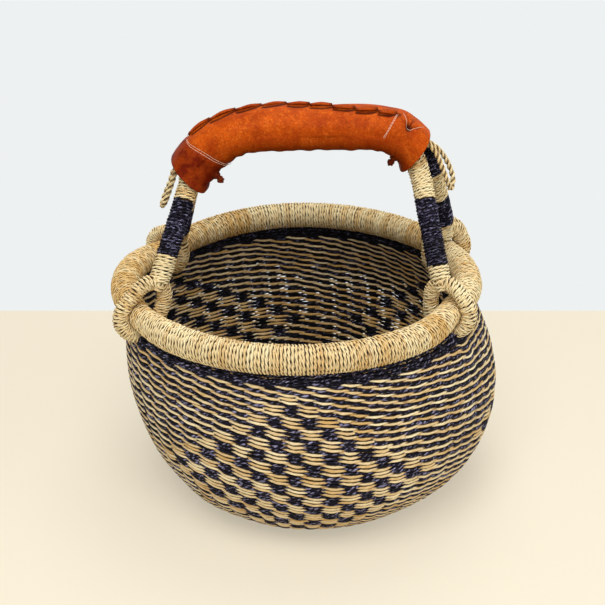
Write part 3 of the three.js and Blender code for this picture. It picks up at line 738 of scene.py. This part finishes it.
def weave_row(mesh, row, start, count):
    """Two strands, passing in front of and behind each stake and round each other."""
    whole = count == STAKES
    border = row < BORDER_ROWS
    down, pitch = ROWS[row]
    share = max((share for edge, share in STAKE_ENDS if down >= edge), default=1)
    stakes = STAKES // share
    u = (start + np.arange(count // share)[:, None] + STEP_PLACES).reshape(-1)
    if not whole:
        u = np.append(u, start + count // share - 0.5)
    stake = np.round(u + 1e-6).astype(int)
    crossing = np.floor(u + 1e-6).astype(int) % stakes
    scatter = np.random.default_rng(1000 + row)
    marks = scatter.normal(0, 1, (8, 2 * STAKES))[:, stake % stakes]
    stray = scatter.normal(0, 1, STAKES)[crossing]
    luck = scatter.uniform(0, 1, STAKES)[crossing]
    near_crossing = 1 - np.abs(np.cos(math.pi * u))
    degrees = stake_direction((u + CROSSING_STRAY * stray * near_crossing) * share, down)
    drift, growth = row_drift(degrees, down)
    height = pitch * (1 + growth)
    open_share = OPEN_CHANCE * towards(OPEN_DIRECTION, degrees, OPEN_SPREAD, 4)
    hole = (luck < open_share * fade(down, 22, 52)) & (not border)
    pinch = np.where(hole, OPEN_PINCH, BORDER_PINCH if border else PINCH)
    thin = np.where(hole, OPEN_HALF, CROSSING_HALF)
    slant = SLANT + OPEN_SLANT * hole * near_crossing
    dark = dark_outside(row, stake)
    for ply in (0, 1):
        phase = math.pi * (u + ply)
        turn = np.cos(phase)
        # The slope goes from 1 to -1 along each float outside, and back along each one inside.
        slope = -np.arcsin(FLOAT_BEND * np.sin(phase)) / math.asin(FLOAT_BEND)
        held = (1 - np.abs(slope)) ** HELD_CURVE
        inner = (stake + ply) % 2 == 1
        dye = dark if border else np.where(inner, ~dark, dark)
        width = np.where(dye, DYED_WIDTH, np.where(inner, INSIDE_WIDTH, OUTSIDE_WIDTH))
        half_up = height * (pinch + (0.5 + WIDTH_SCATTER * marks[ply] - pinch) * held) * width
        half_out = thin + (STRAND_HALF - thin) * held
        sag = SAG + PAIR_SAG_SCATTER * marks[5] + STRAND_SAG_SCATTER * marks[2 + ply]
        lift = height * (slant * slope - sag * held)
        if row == 0:
            lift = lift + TOP_ROW_LIFT * height
        centres = bowl_point(degrees, down + drift, STRAND_SWING * turn, lift)
        forward = tangents(centres, whole)
        outward = bowl_outward(degrees, np.full(len(u), down))
        upward = unit(np.cross(outward, forward))
        outward = np.cross(forward, upward)
        rings = round_ring(centres, upward, outward, half_up, half_out, WEAVE_SIDES)
        length = (stake + 7 * ply + 5 * row) // 8
        tone = LENGTH_TONE_SIZE * LENGTH_TONES[(length * 37 + row * 11) % len(LENGTH_TONES)]
        # Painted shade inside the bowl: dyed strands darker, natural ones darker and browner further
        # down.
        inside_shade = np.where(dye, INSIDE_DYED_SHADE, 0.1 + np.clip(down / 90, 0, 1.1))
        tone = tone + np.where(inner, inside_shade, 0.0) + STRAND_TONE_SIZE * marks[ply]
        # Painted shade: faces turned away past a crossing, where the strand dives behind, are
        # darkened.
        hidden = -np.sign(FACING)[None, :] * turn[:, None]
        sunk = 1.4 * fade(hidden, 0.3, 0.65) * (FACING != 0)
        sunk = sunk - 0.5 * fade(np.abs(turn), 0.5, 0)[:, None]
        mesh.add(rings, closed=whole, dye=dye, tone=tone, sunk=sunk)


def weave(name, node, rows, start=0, count=STAKES, dye=0.0):
    """A piece of the bowl: its rows, and the stalks that they are woven over."""
    mesh = Mesh()
    for row in rows:
        weave_row(mesh, row, start, count)
    top = ROWS[rows[0]][0] - ROWS[rows[0]][1] / 2
    bottom = ROWS[rows[-1]][0] + ROWS[rows[-1]][1] / 2
    for stake in range(start, start + count):
        low = min([bottom, *(edge for edge, share in STAKE_ENDS if stake % share)])
        down = np.linspace(top, low, max(3, int((low - top) / 5)))
        degrees = stake_direction(np.full(len(down), float(stake)), down)
        centres = bowl_point(degrees, down)
        outward = bowl_outward(degrees, down)
        across = unit(np.cross(tangents(centres), outward))
        # The stakes lie behind the strands and are painted wholly in shade.
        mesh.add(round_ring(centres, across, outward, 0.9, 0.7, 5), dye=dye, tone=0.4, sunk=1.0)
    mesh.make(name, woven_grass, node, slot="patterned_weave")


def make_bowl():
    base_row = next(i for i, (down, _) in enumerate(ROWS) if down > BASE_EDGE)
    wall_rows = range(BORDER_ROWS, base_row)
    weave("woven_border", "border_weave", range(BORDER_ROWS), dye=1.0)
    for name, start in (("front", -7), ("right", 8), ("back", 23), ("left", 38)):
        weave(f"woven_wall_{name}", "wall_weave", wall_rows, start, STAKES // 4)
    weave("woven_base", "base_mat", range(base_row, len(ROWS)))


make_bowl()


# Winding

PLY_TWIST = 12.5
TURNS_PER_BLADE = 9
WINDING_STEP = 1.45
PLY_SIDES = 5

# A ply's half thickness as a share of the pitch, and how far out and how full it lies.
PLY_SHARE = 0.27
PLY_OFFSET = 0.85
PLY_FULLNESS = 1.2

# How uneven a strand is: its pitch, height, twist and girth, and the shade of its turns and of
# its blades of grass. The twist and the girth wander along the strand at this distance.
PITCH_SCATTER = 0.09
HEIGHT_SCATTER = 0.1
TWIST_SCATTER = 1.1
GIRTH_SCATTER = 0.09
TURN_SHADE = 0.45
BLADE_SHADE = 0.36
WANDER_EVERY = 12.0


def along_line(value, distance):
    """A value that is one number, or worked out from the distance along a line."""
    return value(distance) if callable(value) else value


def wind(mesh, line, radius, pitch, seed, dye=0.0, ripe=0.0, girth=1.0):
    """A two-ply strand wound closely round a line. radius is over the winding.

    radius and dye are numbers, or functions of the distance along the line. A riper strand
    is browner.
    """
    ply = PLY_SHARE * pitch * girth
    turns = line.length / pitch
    reach = np.mean(along_line(radius, np.array([line.length / 2])))
    steps = int(turns * max(14, round(math.tau * reach / WINDING_STEP)))
    turn = np.linspace(0, turns, steps)
    scatter = np.random.default_rng(seed)
    every_turn = np.arange(int(turns) + 3)

    def by_turn(spread):
        return np.interp(turn, every_turn, scatter.normal(0, spread, len(every_turn)))

    distance = np.clip(turn * pitch + by_turn(1) * PITCH_SCATTER * pitch, 0, line.length)
    points, side = line.at(distance)
    ahead, _ = line.at(np.clip(distance + 0.5, 0, line.length))
    behind, _ = line.at(np.clip(distance - 0.5, 0, line.length))
    side, up = square_to(unit(ahead - behind), side)
    radial = swung(side, up, math.tau * turn)
    proud = along_line(radius, distance) - 2 * ply + by_turn(HEIGHT_SCATTER)
    centre = points + radial * proud[:, None]
    gone = travelled(centre)
    knots = np.arange(0, gone[-1] + 2 * WANDER_EVERY, WANDER_EVERY)
    wander = np.interp(gone, knots, scatter.normal(0, TWIST_SCATTER, len(knots)))
    twist = math.tau * gone / PLY_TWIST + wander
    swell = np.interp(gone, knots, scatter.normal(1, GIRTH_SCATTER, len(knots)))
    shade = by_turn(TURN_SHADE)
    blade = (turn / TURNS_PER_BLADE).astype(int)
    tone = ripe + scatter.normal(0, BLADE_SHADE, blade[-1] + 1)[blade] + shade
    across = unit(np.cross(tangents(centre), radial))
    for half in (0, 1):
        middle = centre + swung(across, radial, twist + math.pi * half) * ply * PLY_OFFSET
        wide, deep = square_to(tangents(middle), radial)
        fat = ply * PLY_FULLNESS * (swell if half else 2 - swell)
        rings = round_ring(middle, wide, deep, fat, fat, PLY_SIDES)
        mesh.add(rings, dye=along_line(dye, distance), tone=tone + 0.25 * half, sunk=0.0)
    return mesh


# Rim

RIM_PITCH = 2.55

# The lengths of the rim between the feet, how much browner and darker their grass is, and their seeds.
RIM_LENGTHS = (
    ("right", "near_right", "far_right", 0.0, 30),
    ("back", "far_right", "far_left", 0.2, 31),
    ("left", "far_left", "near_left", 0.8, 32),
    ("front", "near_left", "near_right", 0.0, 33),
)


def feet_near(degrees):
    """How near a direction is to each foot: 1 at the foot, falling to 0 beside it."""
    return [towards(leg["angle"], degrees, FOOT_SPREAD) for leg in LEGS.values()]


def rim_point(degrees):
    pulls = [leg["pull"] * near for leg, near in zip(LEGS.values(), feet_near(degrees))]
    radius = RIM_RADIUS - sum(pulls)
    angle = np.radians(degrees)
    x = RIM_LEAN + radius * np.cos(angle)
    return np.stack([x, radius * np.sin(angle), RIM_HEIGHT - dip_at(degrees)], axis=-1)


def make_rim_length(name, first_leg, last_leg, ripe, seed):
    end = LEGS[last_leg]["angle"]
    start = end - (end - LEGS[first_leg]["angle"]) % 360
    degrees = np.linspace(start + 0.1, end - 0.1, 240)
    points = rim_point(degrees)
    line = Line(points, unit(np.cross(UP, tangents(points))))
    squeeze = FOOT_SQUEEZE * np.max(feet_near(degrees), axis=0)

    def radius(distance):
        return np.interp(distance, line.distance, RIM_ROLL_RADIUS - squeeze)

    winding = wind(Mesh(), line, radius, RIM_PITCH, seed, ripe=ripe)
    winding.make(f"rim_winding_{name}", wound_grass, f"rim_wrap_{name}", slot="straw_strand")


for rim_length in RIM_LENGTHS:
    make_rim_length(*rim_length)


# Handle arches

LEG_RADIUS = 8.6
BRANCH_RADIUS = 5.7
FORK_RADIUS = BRANCH_RADIUS + 1.3
FORK_TAPER = 12.0
STRAND_PITCH = 2.5
EYE_PITCH = 2.4
ARCH_OFFSET = LEG_RADIUS + 1.5 * GAP
GRIP_HEIGHT = RIM_HEIGHT + 130.5
GRIP_LEFT = 98.0
GRIP_RIGHT = 85.0
LEFT_FALL = 42.0
LEFT_FALL_POWER = 3.8
RIGHT_FALL = 19.0
RIGHT_FALL_POWER = 5.8
SHOULDER_SPREAD = 12.0
EYE_RADIUS = RIM_ROLL_RADIUS - FOOT_SQUEEZE + GAP + BRANCH_RADIUS
EYE_TIP_SPREAD = math.radians(38)
EYE_PROUD = 0.75
EYE_GIRTH = 1.12
EYE_CORE_RADIUS = BRANCH_RADIUS - 2.0
ARCH_RIPENESS = -0.35
DARK_END = 34.0


def outward_at(leg):
    angle = math.radians(leg["angle"])
    return np.array([math.cos(angle), math.sin(angle), 0.0])


def eye_centre(leg):
    return rim_point(leg["angle"])


def fork_point(leg):
    return eye_centre(leg) - outward_at(leg) * leg["inset"] + UP * leg["rise"]


def grip_height(x):
    """The grip's height, which falls towards its ends, and more to the left."""
    left = LEFT_FALL * np.clip(-x / GRIP_LEFT, 0, None) ** LEFT_FALL_POWER
    right = RIGHT_FALL * np.clip(x / GRIP_RIGHT, 0, None) ** RIGHT_FALL_POWER
    return GRIP_HEIGHT - left - right


def leg_points(leg):
    """The points of a leg's line, from its fork up to its shoulder."""
    fork = fork_point(leg)
    end = GRIP_LEFT if leg["hand"] < 0 else GRIP_RIGHT
    x = leg["hand"] * (end + leg["reach"])
    shoulder = np.array([x, leg["depth"] * SHOULDER_SPREAD, GRIP_HEIGHT - leg["drop"]])
    return [fork + (shoulder - fork) * share for share in (0, 0.34, 0.68, 1)]


def arch_legs(name):
    return LEGS[f"{name}_left"], LEGS[f"{name}_right"]


def arch_spline(name):
    left, right = arch_legs(name)
    across = [share * GRIP_LEFT for share in (-0.84, -0.61, -0.31)]
    across += [share * GRIP_RIGHT for share in (0, 0.35, 0.67, 0.86)]
    top = [np.array([x, left["depth"] * ARCH_OFFSET, grip_height(x)]) for x in across]
    return Spline([*leg_points(left), *top, *leg_points(right)[::-1]])


def arch_line(spline):
    shares = np.linspace(0, 1, 1600)
    side, _ = square_to(spline.forward(shares), BACK)
    return Line(spline.at(shares), side)


ARCHES = {name: arch_spline(name) for name in ("near", "far")}
ARCH_LINES = {name: arch_line(arch) for name, arch in ARCHES.items()}


def stretch(line, start, end):
    """Part of a line, between two distances along it."""
    return Line(*line.at(np.linspace(start, end, 400)))


def leg_stretch(leg, start, end):
    """Part of a leg, by distances up from its fork."""
    line = ARCH_LINES["near" if leg["depth"] < 0 else "far"]
    if leg["hand"] < 0:
        return stretch(line, start, end)
    return stretch(line, line.length - start, line.length - end)


def eye_line(leg):
    """The ring below a fork that goes round the rim, drawn out to the fork."""
    turn = np.linspace(0, math.tau, 500)
    outward = outward_at(leg)
    to_fork = fork_point(leg) - eye_centre(leg)
    tip = math.atan2(to_fork[2], np.dot(to_fork, outward))
    extra = np.linalg.norm(to_fork) - EYE_RADIUS
    away = np.arctan2(np.sin(turn), np.cos(turn))
    reach = EYE_RADIUS + extra * bell(away, EYE_TIP_SPREAD)
    points = eye_centre(leg) + reach[:, None] * swung(outward, UP, tip + turn)
    return Line(points, np.cross(outward, UP))


def stub_line(leg):
    """The leg below its band, carried on between the two branches of its fork."""
    points, side = leg_stretch(leg, 0.0, leg["plain"]).at(np.linspace(0, leg["plain"], 40))
    down = unit(eye_centre(leg) - points[0])
    below = points[0] + down * np.linspace(leg["web"], 0.5, 12)[:, None]
    return Line(np.vstack([below, points]), np.pad(side, ((12, 0), (0, 0)), mode="edge"))


def fork_radius(distance):
    """The leg's radius over its winding, which tapers where it goes into the fork."""
    return FORK_RADIUS + (LEG_RADIUS - FORK_RADIUS) * fade(distance, 0, FORK_TAPER)


def make_foot(name, leg, seed):
    foot = Mesh()
    line = eye_line(leg)
    over_winding = BRANCH_RADIUS + EYE_PROUD + leg["swell"]
    wind(foot, line, over_winding, EYE_PITCH, seed, girth=EYE_GIRTH)
    wind(foot, stub_line(leg), fork_radius, STRAND_PITCH, seed + 1)
    points, side = line.at(np.linspace(0, line.length, 120, endpoint=False))
    up = np.cross(tangents(points, closed=True), side)
    core = round_ring(points, side, up, EYE_CORE_RADIUS, EYE_CORE_RADIUS, 8)
    # The core under the eye's winding is painted partly in shade.
    foot.add(core, closed=True, dye=0.0, tone=0.8, sunk=0.6)
    foot.make(f"{name}_foot_winding", wound_grass, f"{name}_foot", slot="straw_strand")


def make_band(name, leg, seed):
    line = leg_stretch(leg, leg["plain"], leg["plain"] + leg["band"])
    band = wind(Mesh(), line, LEG_RADIUS, STRAND_PITCH, seed, dye=1.0)
    band.make(f"{name}_band_winding", wound_grass, f"{name}_dyed_band", slot="dyed_strand")


def make_arch(name, seed, dark_end=None):
    """dark_end is how far above the right band the winding turns dark, if it does."""
    line = ARCH_LINES[name]
    left, right = arch_legs(name)
    end = line.length - right["plain"] - right["band"]
    part = stretch(line, left["plain"] + left["band"], end)

    def part_dyed(distance):
        dark = (distance > part.length / 2) & (part.length - distance > dark_end)
        return dark.astype(float)

    dye = part_dyed if dark_end else 0.0
    winding = wind(Mesh(), part, LEG_RADIUS, STRAND_PITCH, seed, dye=dye, ripe=ARCH_RIPENESS)
    winding.make(f"{name}_arch_winding", wound_grass, f"{name}_arch_wrap", slot="straw_strand")


for order, (leg_name, one_leg) in enumerate(LEGS.items()):
    make_foot(leg_name, one_leg, 50 + 7 * order)
    make_band(leg_name, one_leg, 80 + 7 * order)
make_arch("near", 110)
make_arch("far", 120, DARK_END)


# Grip

# The ends of the sleeve and of its padding, as shares of the arches.
LEATHER_START = 0.21116
LEATHER_END = 0.74856
PADDING_START = 0.23445
PADDING_END = 0.72527
REACH = LEATHER_END - LEATHER_START
LEATHER_THICKNESS = 1.8
FULL_WIDTH = LEG_RADIUS + GAP + 1.6
FULL_HEIGHT = LEG_RADIUS + 6.1 + GAP
SHOULDER_SWELL = 1.8
SHOULDER_LENGTH = 0.32
GRIP_ROUNDNESS = 0.85
SLEEVE_SIDES = 140
SLEEVE_RINGS = 320
PADDING_SIDES = 32
PADDING_RINGS = 60

# Places along the sleeve are shares of its length, and places round it are in degrees up
# from the front. The mouths narrow over this share, and are cut at a slant.
MOUTH = 0.14
MOUTH_SLANT = 0.35
SLEEVE_LENGTH = 233.0
MM_PER_DEGREE = 0.33
SEAM_ALONG = (0.148, 0.238, 0.338, 0.451, 0.551, 0.672, 0.787, 0.845)
SEAM_DEGREES = (92.0, 95.0, 98.0, 98.0, 95.0, 78.0, 72.0, 71.0)
SEAM_LEAVES = 9
TUCK = (0.914, 42.0)
TAB_CORNER = (0.856, 71.0)
UNDERSIDE = -90.0
KNOT_DIRECTION = -68.0
LACE_TAIL = 0.014
LACE_ROLL = 2.5
LACE_WAIST = 1.3
LACE_LEAF = 1.7
LEFT_TIE = 0.16
RIGHT_TIE = 0.796
TIE_GAP = 0.011
THREAD_RADIUS = 0.17
THREAD_PROUD = 0.12


def leather_point(along, degrees, proud=0.0):
    """Points above the plain leather, with its outward and forward directions."""
    inputs = np.broadcast_arrays(along, degrees, proud)
    along, degrees, proud = (column.reshape(-1) for column in inputs)
    share = LEATHER_START + REACH * along
    near, far = (arch.at(share) for arch in ARCHES.values())
    forward = unit(sum(arch.forward(share) for arch in ARCHES.values()))
    side, up = square_to(forward, BACK)
    spread, lift = (dot(far - near, axis)[:, 0] / 2 for axis in (side, up))
    from_mouth = fade(np.minimum(along, 1 - along), 0, MOUTH)
    fullness = np.sin(from_mouth * math.pi / 2)
    swell = SHOULDER_SWELL * np.cos(fade(along, 0, SHOULDER_LENGTH) * math.pi / 2)
    half_width = spread + FULL_WIDTH + 1.3 * (1 - fullness)
    half_height = FULL_HEIGHT * (0.9 + 0.1 * fullness) + swell + np.abs(lift)
    angle = np.radians(180 - degrees)
    a, b = (np.sign(v) * np.abs(v) ** GRIP_ROUNDNESS for v in (np.cos(angle), np.sin(angle)))
    normal = unit(side * (a / half_width)[:, None] + up * (b / half_height)[:, None])
    across = a * (half_width + LEATHER_THICKNESS)
    height = b * (half_height + LEATHER_THICKNESS)
    cut = MOUTH_SLANT * (1 - from_mouth) * np.where(along < 0.5, 1, -1) * height
    raised = height + swell * np.sign(up[:, 2])
    point = (near + far) / 2 + side * across[:, None] + up * raised[:, None]
    point = point + forward * cut[:, None] + normal * proud[:, None]
    return [column.reshape(*inputs[0].shape, 3) for column in (point, normal, forward)]


def seam_degrees(along):
    """Where round the grip the seam runs."""
    return np.interp(along, SEAM_ALONG, SEAM_DEGREES)


def seam_leaf(along):
    """The thong's shape there: fullness of its leaf, 0 at a pinch, and sideways step in degrees."""
    leaf = SEAM_LEAVES * (along - SEAM_ALONG[0]) / (SEAM_ALONG[-1] - SEAM_ALONG[0])
    return np.sin(math.pi * leaf) ** 2, 9.0 * (np.mod(leaf, 1) - 0.5)


def seam_edge(along):
    """Where round the grip the front edge of the thong lies."""
    fullness, step = seam_leaf(along)
    return seam_degrees(along) + step - 5.0 - 4.0 * fullness**0.6


def sewn(along):
    """1 where the seam is sewn, and 0 past its ends."""
    start = fade(along, SEAM_ALONG[0], SEAM_ALONG[0] + 0.012)
    return start * fade(along, SEAM_ALONG[-1] + 0.01, SEAM_ALONG[-1] - 0.002)


def tie_along(degrees):
    """Where along the grip the left tie runs, which goes round at a slant."""
    return LEFT_TIE - 0.032 * np.sin(np.radians(degrees - 5))


def from_spot(along, degrees, spot):
    """Distance in millimetres and direction from a spot on the leather."""
    across = (along - spot[0]) * SLEEVE_LENGTH
    up = turn_between(spot[1], degrees) * MM_PER_DEGREE
    return np.hypot(across, up), np.arctan2(up, across)


def leather_marks(along, degrees):
    """How far the hide stands off its plain form, in millimetres, and its painted crease shade, 0 to
    1.
    """
    run = along * SLEEVE_LENGTH
    folds = np.sin(run / 3.1 + 1.2 * np.sin(run / 11.0)) + 0.7 * np.sin(run / 1.9 + degrees / 25.0)
    waves = 0.5 * np.sin(run / 17.0 + degrees / 40.0) + 0.35 * np.sin(run / 9.0 - degrees / 31.0)
    stitched = sewn(along)
    edge = seam_edge(along)
    ridge = 0.7 * stitched * towards(seam_degrees(along), degrees, 9.0)
    groove = 0.6 * stitched * towards(edge - 2.0, degrees, 4.0)
    tied = 0.9 * bell(along - tie_along(degrees) - 0.003, 0.007)
    far, direction = from_spot(along, degrees, TUCK)
    pit = bell(far, 3.2)
    gathers = np.sin(direction * 9.0)
    above = np.clip(np.sin(direction) + 0.3, 0, 1)
    corner, _ = from_spot(along, degrees, TAB_CORNER)
    relief = (
        0.42 * towards(UNDERSIDE, degrees, 46.0) * folds + waves + ridge - groove - tied
        + 1.3 * gathers * above * bell(far, 9.0) - 2.4 * pit
    )
    # Painted shade: darker in underside folds, the seam's edge groove, the tab's corner and the tuck.
    crease = (
        0.45 * towards(UNDERSIDE, degrees, 50.0) * np.clip(-folds, 0, 1)
        + 1.1 * stitched * towards(edge - 1.5, degrees, 4.0) + 0.9 * bell(corner, 2.6)
        + 1.1 * np.clip(-gathers, 0, 1) * above * bell(far, 10.0) + 1.4 * pit
    )
    return relief, np.clip(crease, 0, 1)


def all_round(sides):
    """Directions all the way round the grip."""
    return np.arange(sides) * 360.0 / sides


def make_sleeve():
    """The hide from mouth to mouth, with both edges folded inwards."""
    degrees = all_round(SLEEVE_SIDES)
    outside = np.linspace(0, 1, SLEEVE_RINGS)
    fold = np.concatenate([np.zeros(4), np.linspace(0, 0.06, 8)[1:]])
    depth = -np.concatenate([[0.4, 0.9, 1.4], np.full(8, LEATHER_THICKNESS)])
    along = np.concatenate([fold[::-1], outside, 1 - fold])[:, None]
    inside = np.concatenate([depth[::-1], np.zeros(len(outside)), depth])[:, None]
    seen = np.pad(outside, len(fold), mode="edge")[:, None]
    relief, crease = leather_marks(seen, degrees)
    rings, _, _ = leather_point(along, degrees, np.where(inside < 0, inside, relief))
    # Painted shade: the underside of the grip is darker.
    under = np.broadcast_to(0.9 * towards(UNDERSIDE, degrees, 66.0), crease.shape)
    cap = 1 / (1 + np.exp(np.clip((seen - tie_along(degrees)) / 0.0012, -30, 30)))
    mesh = Mesh().add(rings, cap=cap, under=under, crease=crease)
    mesh.make("leather_grip", tan_leather, "leather_sleeve", slot="grip_leather")


def make_padding():
    degrees = all_round(PADDING_SIDES)
    share = np.linspace(PADDING_START, PADDING_END, PADDING_RINGS)[:, None]
    along = (share - LEATHER_START) / REACH
    rings, _, _ = leather_point(along, degrees, -LEATHER_THICKNESS - GAP)
    piece = Mesh().add(rings).make(
        "grip_stuffing", stalk_bundle, "grip_padding", slot="stalk_bundle"
    )


def make_lace():
    """A flat thong along the seam, pinched at every stitch into a row of leaves."""
    along = np.linspace(SEAM_ALONG[0] - 0.01, SEAM_ALONG[-1], 480)
    fullness, step = seam_leaf(along)
    tail = np.clip((along - along[0]) / LACE_TAIL, 0.2, 1)
    proud = (1.0 + 0.7 * fullness) * tail
    point, normal, forward = leather_point(along, seam_degrees(along) + step * tail, proud)
    wide = swung(unit(np.cross(normal, forward)), normal, np.radians(LACE_ROLL * step))
    half_width = (LACE_WAIST + LACE_LEAF * fullness**0.6) * tail
    rings = round_ring(point, wide, np.cross(forward, wide), half_width, 1.1 * tail, 12)
    # Painted shade at the thong's pinches, and a little under it.
    mesh = Mesh().add(rings, cap=0.35, under=0.1, crease=0.8 * (1 - fullness) ** 6)
    mesh.make("seam_thong", tan_leather, "seam_lace", slot="grip_leather")


def make_knot(name, node, along, length):
    """A short knotted end of thong below one shoulder."""
    root, normal, forward = leather_point(along, KNOT_DIRECTION, 0.3)
    middle = root + normal * length / 2
    tip = middle + normal * length / 6 - forward * length / 5
    steps = np.linspace(0, 1, 40)
    points = Spline([root - normal * 1.5, middle, tip]).at(steps)
    across = np.tile(unit(np.cross(forward, normal)), (len(steps), 1))
    lumps = 1 + 0.22 * np.sin(steps * 15.0) + 0.1 * np.sin(steps * 37.0)
    taper = np.interp(steps, [0, 0.25, 0.5, 0.75, 1], [2.9, 3.6, 2.7, 3.5, 1.8]) * lumps
    deep = np.cross(tangents(points), across)
    rings = round_ring(points, across, deep, taper, taper * 0.85, 14)
    # A little painted shade on the knot's underside.
    mesh = Mesh().add(rings, cap=0.4, under=0.2, crease=0.0)
    mesh.make(name, dark_leather, node, slot="dark_leather")


def make_thread(name, along, degrees):
    relief, _ = leather_marks(along, degrees)
    point, normal, _ = leather_point(along, degrees, THREAD_PROUD + relief)
    deep, wide = square_to(tangents(point), normal)
    rings = round_ring(point, wide, deep, THREAD_RADIUS, THREAD_RADIUS, 6)
    Mesh().add(rings).make(name, pale_thread, slot="straw_strand")


def make_ties():
    """The pale threads: two at each end of the grip, and one that holds the tuck."""
    left = np.linspace(84, -150, 120)
    right = np.linspace(68, 0, 60)
    for order, gap in enumerate((0.0, TIE_GAP), 1):
        apart = gap * np.sin(np.linspace(0.3, 2.9, len(left)))
        make_thread(f"left_tie_thread_{order}", tie_along(left) + apart, left)
        make_thread(f"right_tie_thread_{order}", RIGHT_TIE + 0.046 * right / 66 + gap * 0.5, right)
    steps = np.linspace(0, 3, 60)
    along = np.interp(steps, (0, 1, 2, 3), (0.877, 0.905, 0.927, 0.968))
    make_thread("tuck_thread", along, np.interp(steps, (0, 1, 2, 3), (80.0, 42.0, 40.0, 79.0)))


make_sleeve()
make_padding()
make_lace()
make_ties()
make_knot("left_thong_end", "left_thong_knot", 0.11, 10.0)
make_knot("right_thong_end", "right_thong_knot", 0.925, 9.0)


# Cord loops

LEFT_ROUTE = [
    (-0.099471, -0.002273, 0.28245), (-0.103409, -0.002288, 0.275775), (-0.1055, -0.0055, 0.276),
    (-0.1105, -0.0075, 0.263), (-0.115, -0.0065, 0.251), (-0.1185, 0, 0.245),
    (-0.117, 0.0065, 0.25), (-0.1125, 0.0075, 0.261), (-0.1075, 0.0055, 0.274),
    (-0.103414, 0.002212, 0.275768), (-0.099476, 0.002227, 0.282443),
]
RIGHT_ROUTE = [
    (0.083419, -0.002235, 0.306266), (0.088783, -0.002191, 0.300672), (0.098, -0.002, 0.291),
    (0.104, -0.003, 0.278), (0.1085, -0.002, 0.266), (0.1125, 0.0045, 0.2575),
    (0.1145, 0.011, 0.263), (0.1108, 0.0125, 0.2745), (0.1025, 0.009, 0.288),
    (0.088765, 0.002309, 0.30069), (0.083402, 0.002265, 0.306284),
]
CORD_DIAMETER = 0.0038
CORD_TWIST = 11.0


def make_cord(name, node, route):
    """Two strands laid round each other."""
    line = Line(Spline(np.array(route) / MM).at(np.linspace(0, 1, 260)), BACK)
    distance = np.linspace(0, line.length, 200)
    points, side = line.at(distance)
    side, up = square_to(tangents(points), side)
    half = CORD_DIAMETER / MM / 4
    mesh = Mesh()
    for ply in (0, 1):
        offset = swung(side, up, math.tau * distance / CORD_TWIST + math.pi * ply)
        middle = points + offset * half
        wide, deep = square_to(tangents(middle), offset)
        rings = round_ring(middle, wide, deep, half * 1.4, half * 1.4, 8)
        mesh.add(rings, dye=0.0, tone=0.2 * ply, sunk=0.0)
    piece = mesh.make(name, wound_grass, node, slot="grass_cord")


make_cord("left_hanging_cord", "left_cord_loop", LEFT_ROUTE)
make_cord("right_hanging_cord", "right_cord_loop", RIGHT_ROUTE)


# Cores that stay as the frame has them

for node in ("rim_core", "near_arch_core", "far_arch_core"):
    for core_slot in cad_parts[node].material_slots:
        core_slot.material = stalk_bundle


# Stage

FLOOR_EDGE = 0.305
FLOOR_REACH = 3.0
FLOOR_LIGHT = 0.5
LAMP_TARGET = (0.0, 0.0, 0.15)


def make_floor():
    """A plain floor. It is lit half by the lamps, and half by a plain glow of its own."""
    corners = [(-FLOOR_REACH, -FLOOR_REACH, 0), (FLOOR_REACH, -FLOOR_REACH, 0)]
    corners += [(FLOOR_REACH, FLOOR_EDGE, 0), (-FLOOR_REACH, FLOOR_EDGE, 0)]
    data = bpy.data.meshes.new("floor")
    data.from_pydata(corners, [], [(0, 1, 2, 3)])
    floor = put("floor", data)
    shader = Surface("plain_floor", Roughness=0.8, Specular_IOR_Level=0.1, Emission_Strength=1.0)
    seen = shader.backdrop_rays()
    plain = paint(246, 236, 214)
    half = (*[level * FLOOR_LIGHT for level in plain[:3]], 1.0)
    shader.fill(shader.surface.inputs["Emission Color"], shader.blend((0, 0, 0, 1), (seen, half)))
    data.materials.append(shader.finish(shader.blend(plain, (seen, half)), 0.8))


def make_light(name, place, size, power, tint=(1.0, 1.0, 1.0)):
    data = bpy.data.lights.new(name, "AREA")
    data.shape = "DISK"
    data.size = size
    data.energy = power
    data.color = tint
    aim(put(name, data), place, LAMP_TARGET)


def make_world():
    world = bpy.data.worlds.new("studio")
    world.use_nodes = True
    shader = Shader(world.node_tree)
    sky = shader.blend((0.32, 0.33, 0.34, 1.0), (shader.backdrop_rays(), paint(238, 241, 241)))
    shader.fill(shader.tree.nodes["Background"].inputs["Color"], sky)
    bpy.context.scene.world = world


make_floor()
make_world()
make_light("key", (-0.1, -0.95, 1.6), 1.2, 20.0, (1.0, 0.98, 0.95))
make_light("fill", (1.2, -0.8, 1.0), 1.2, 5.0)
make_light("top", (0.1, 0.4, 1.7), 1.0, 8.0)
bpy.context.scene.view_settings.view_transform = "Standard"
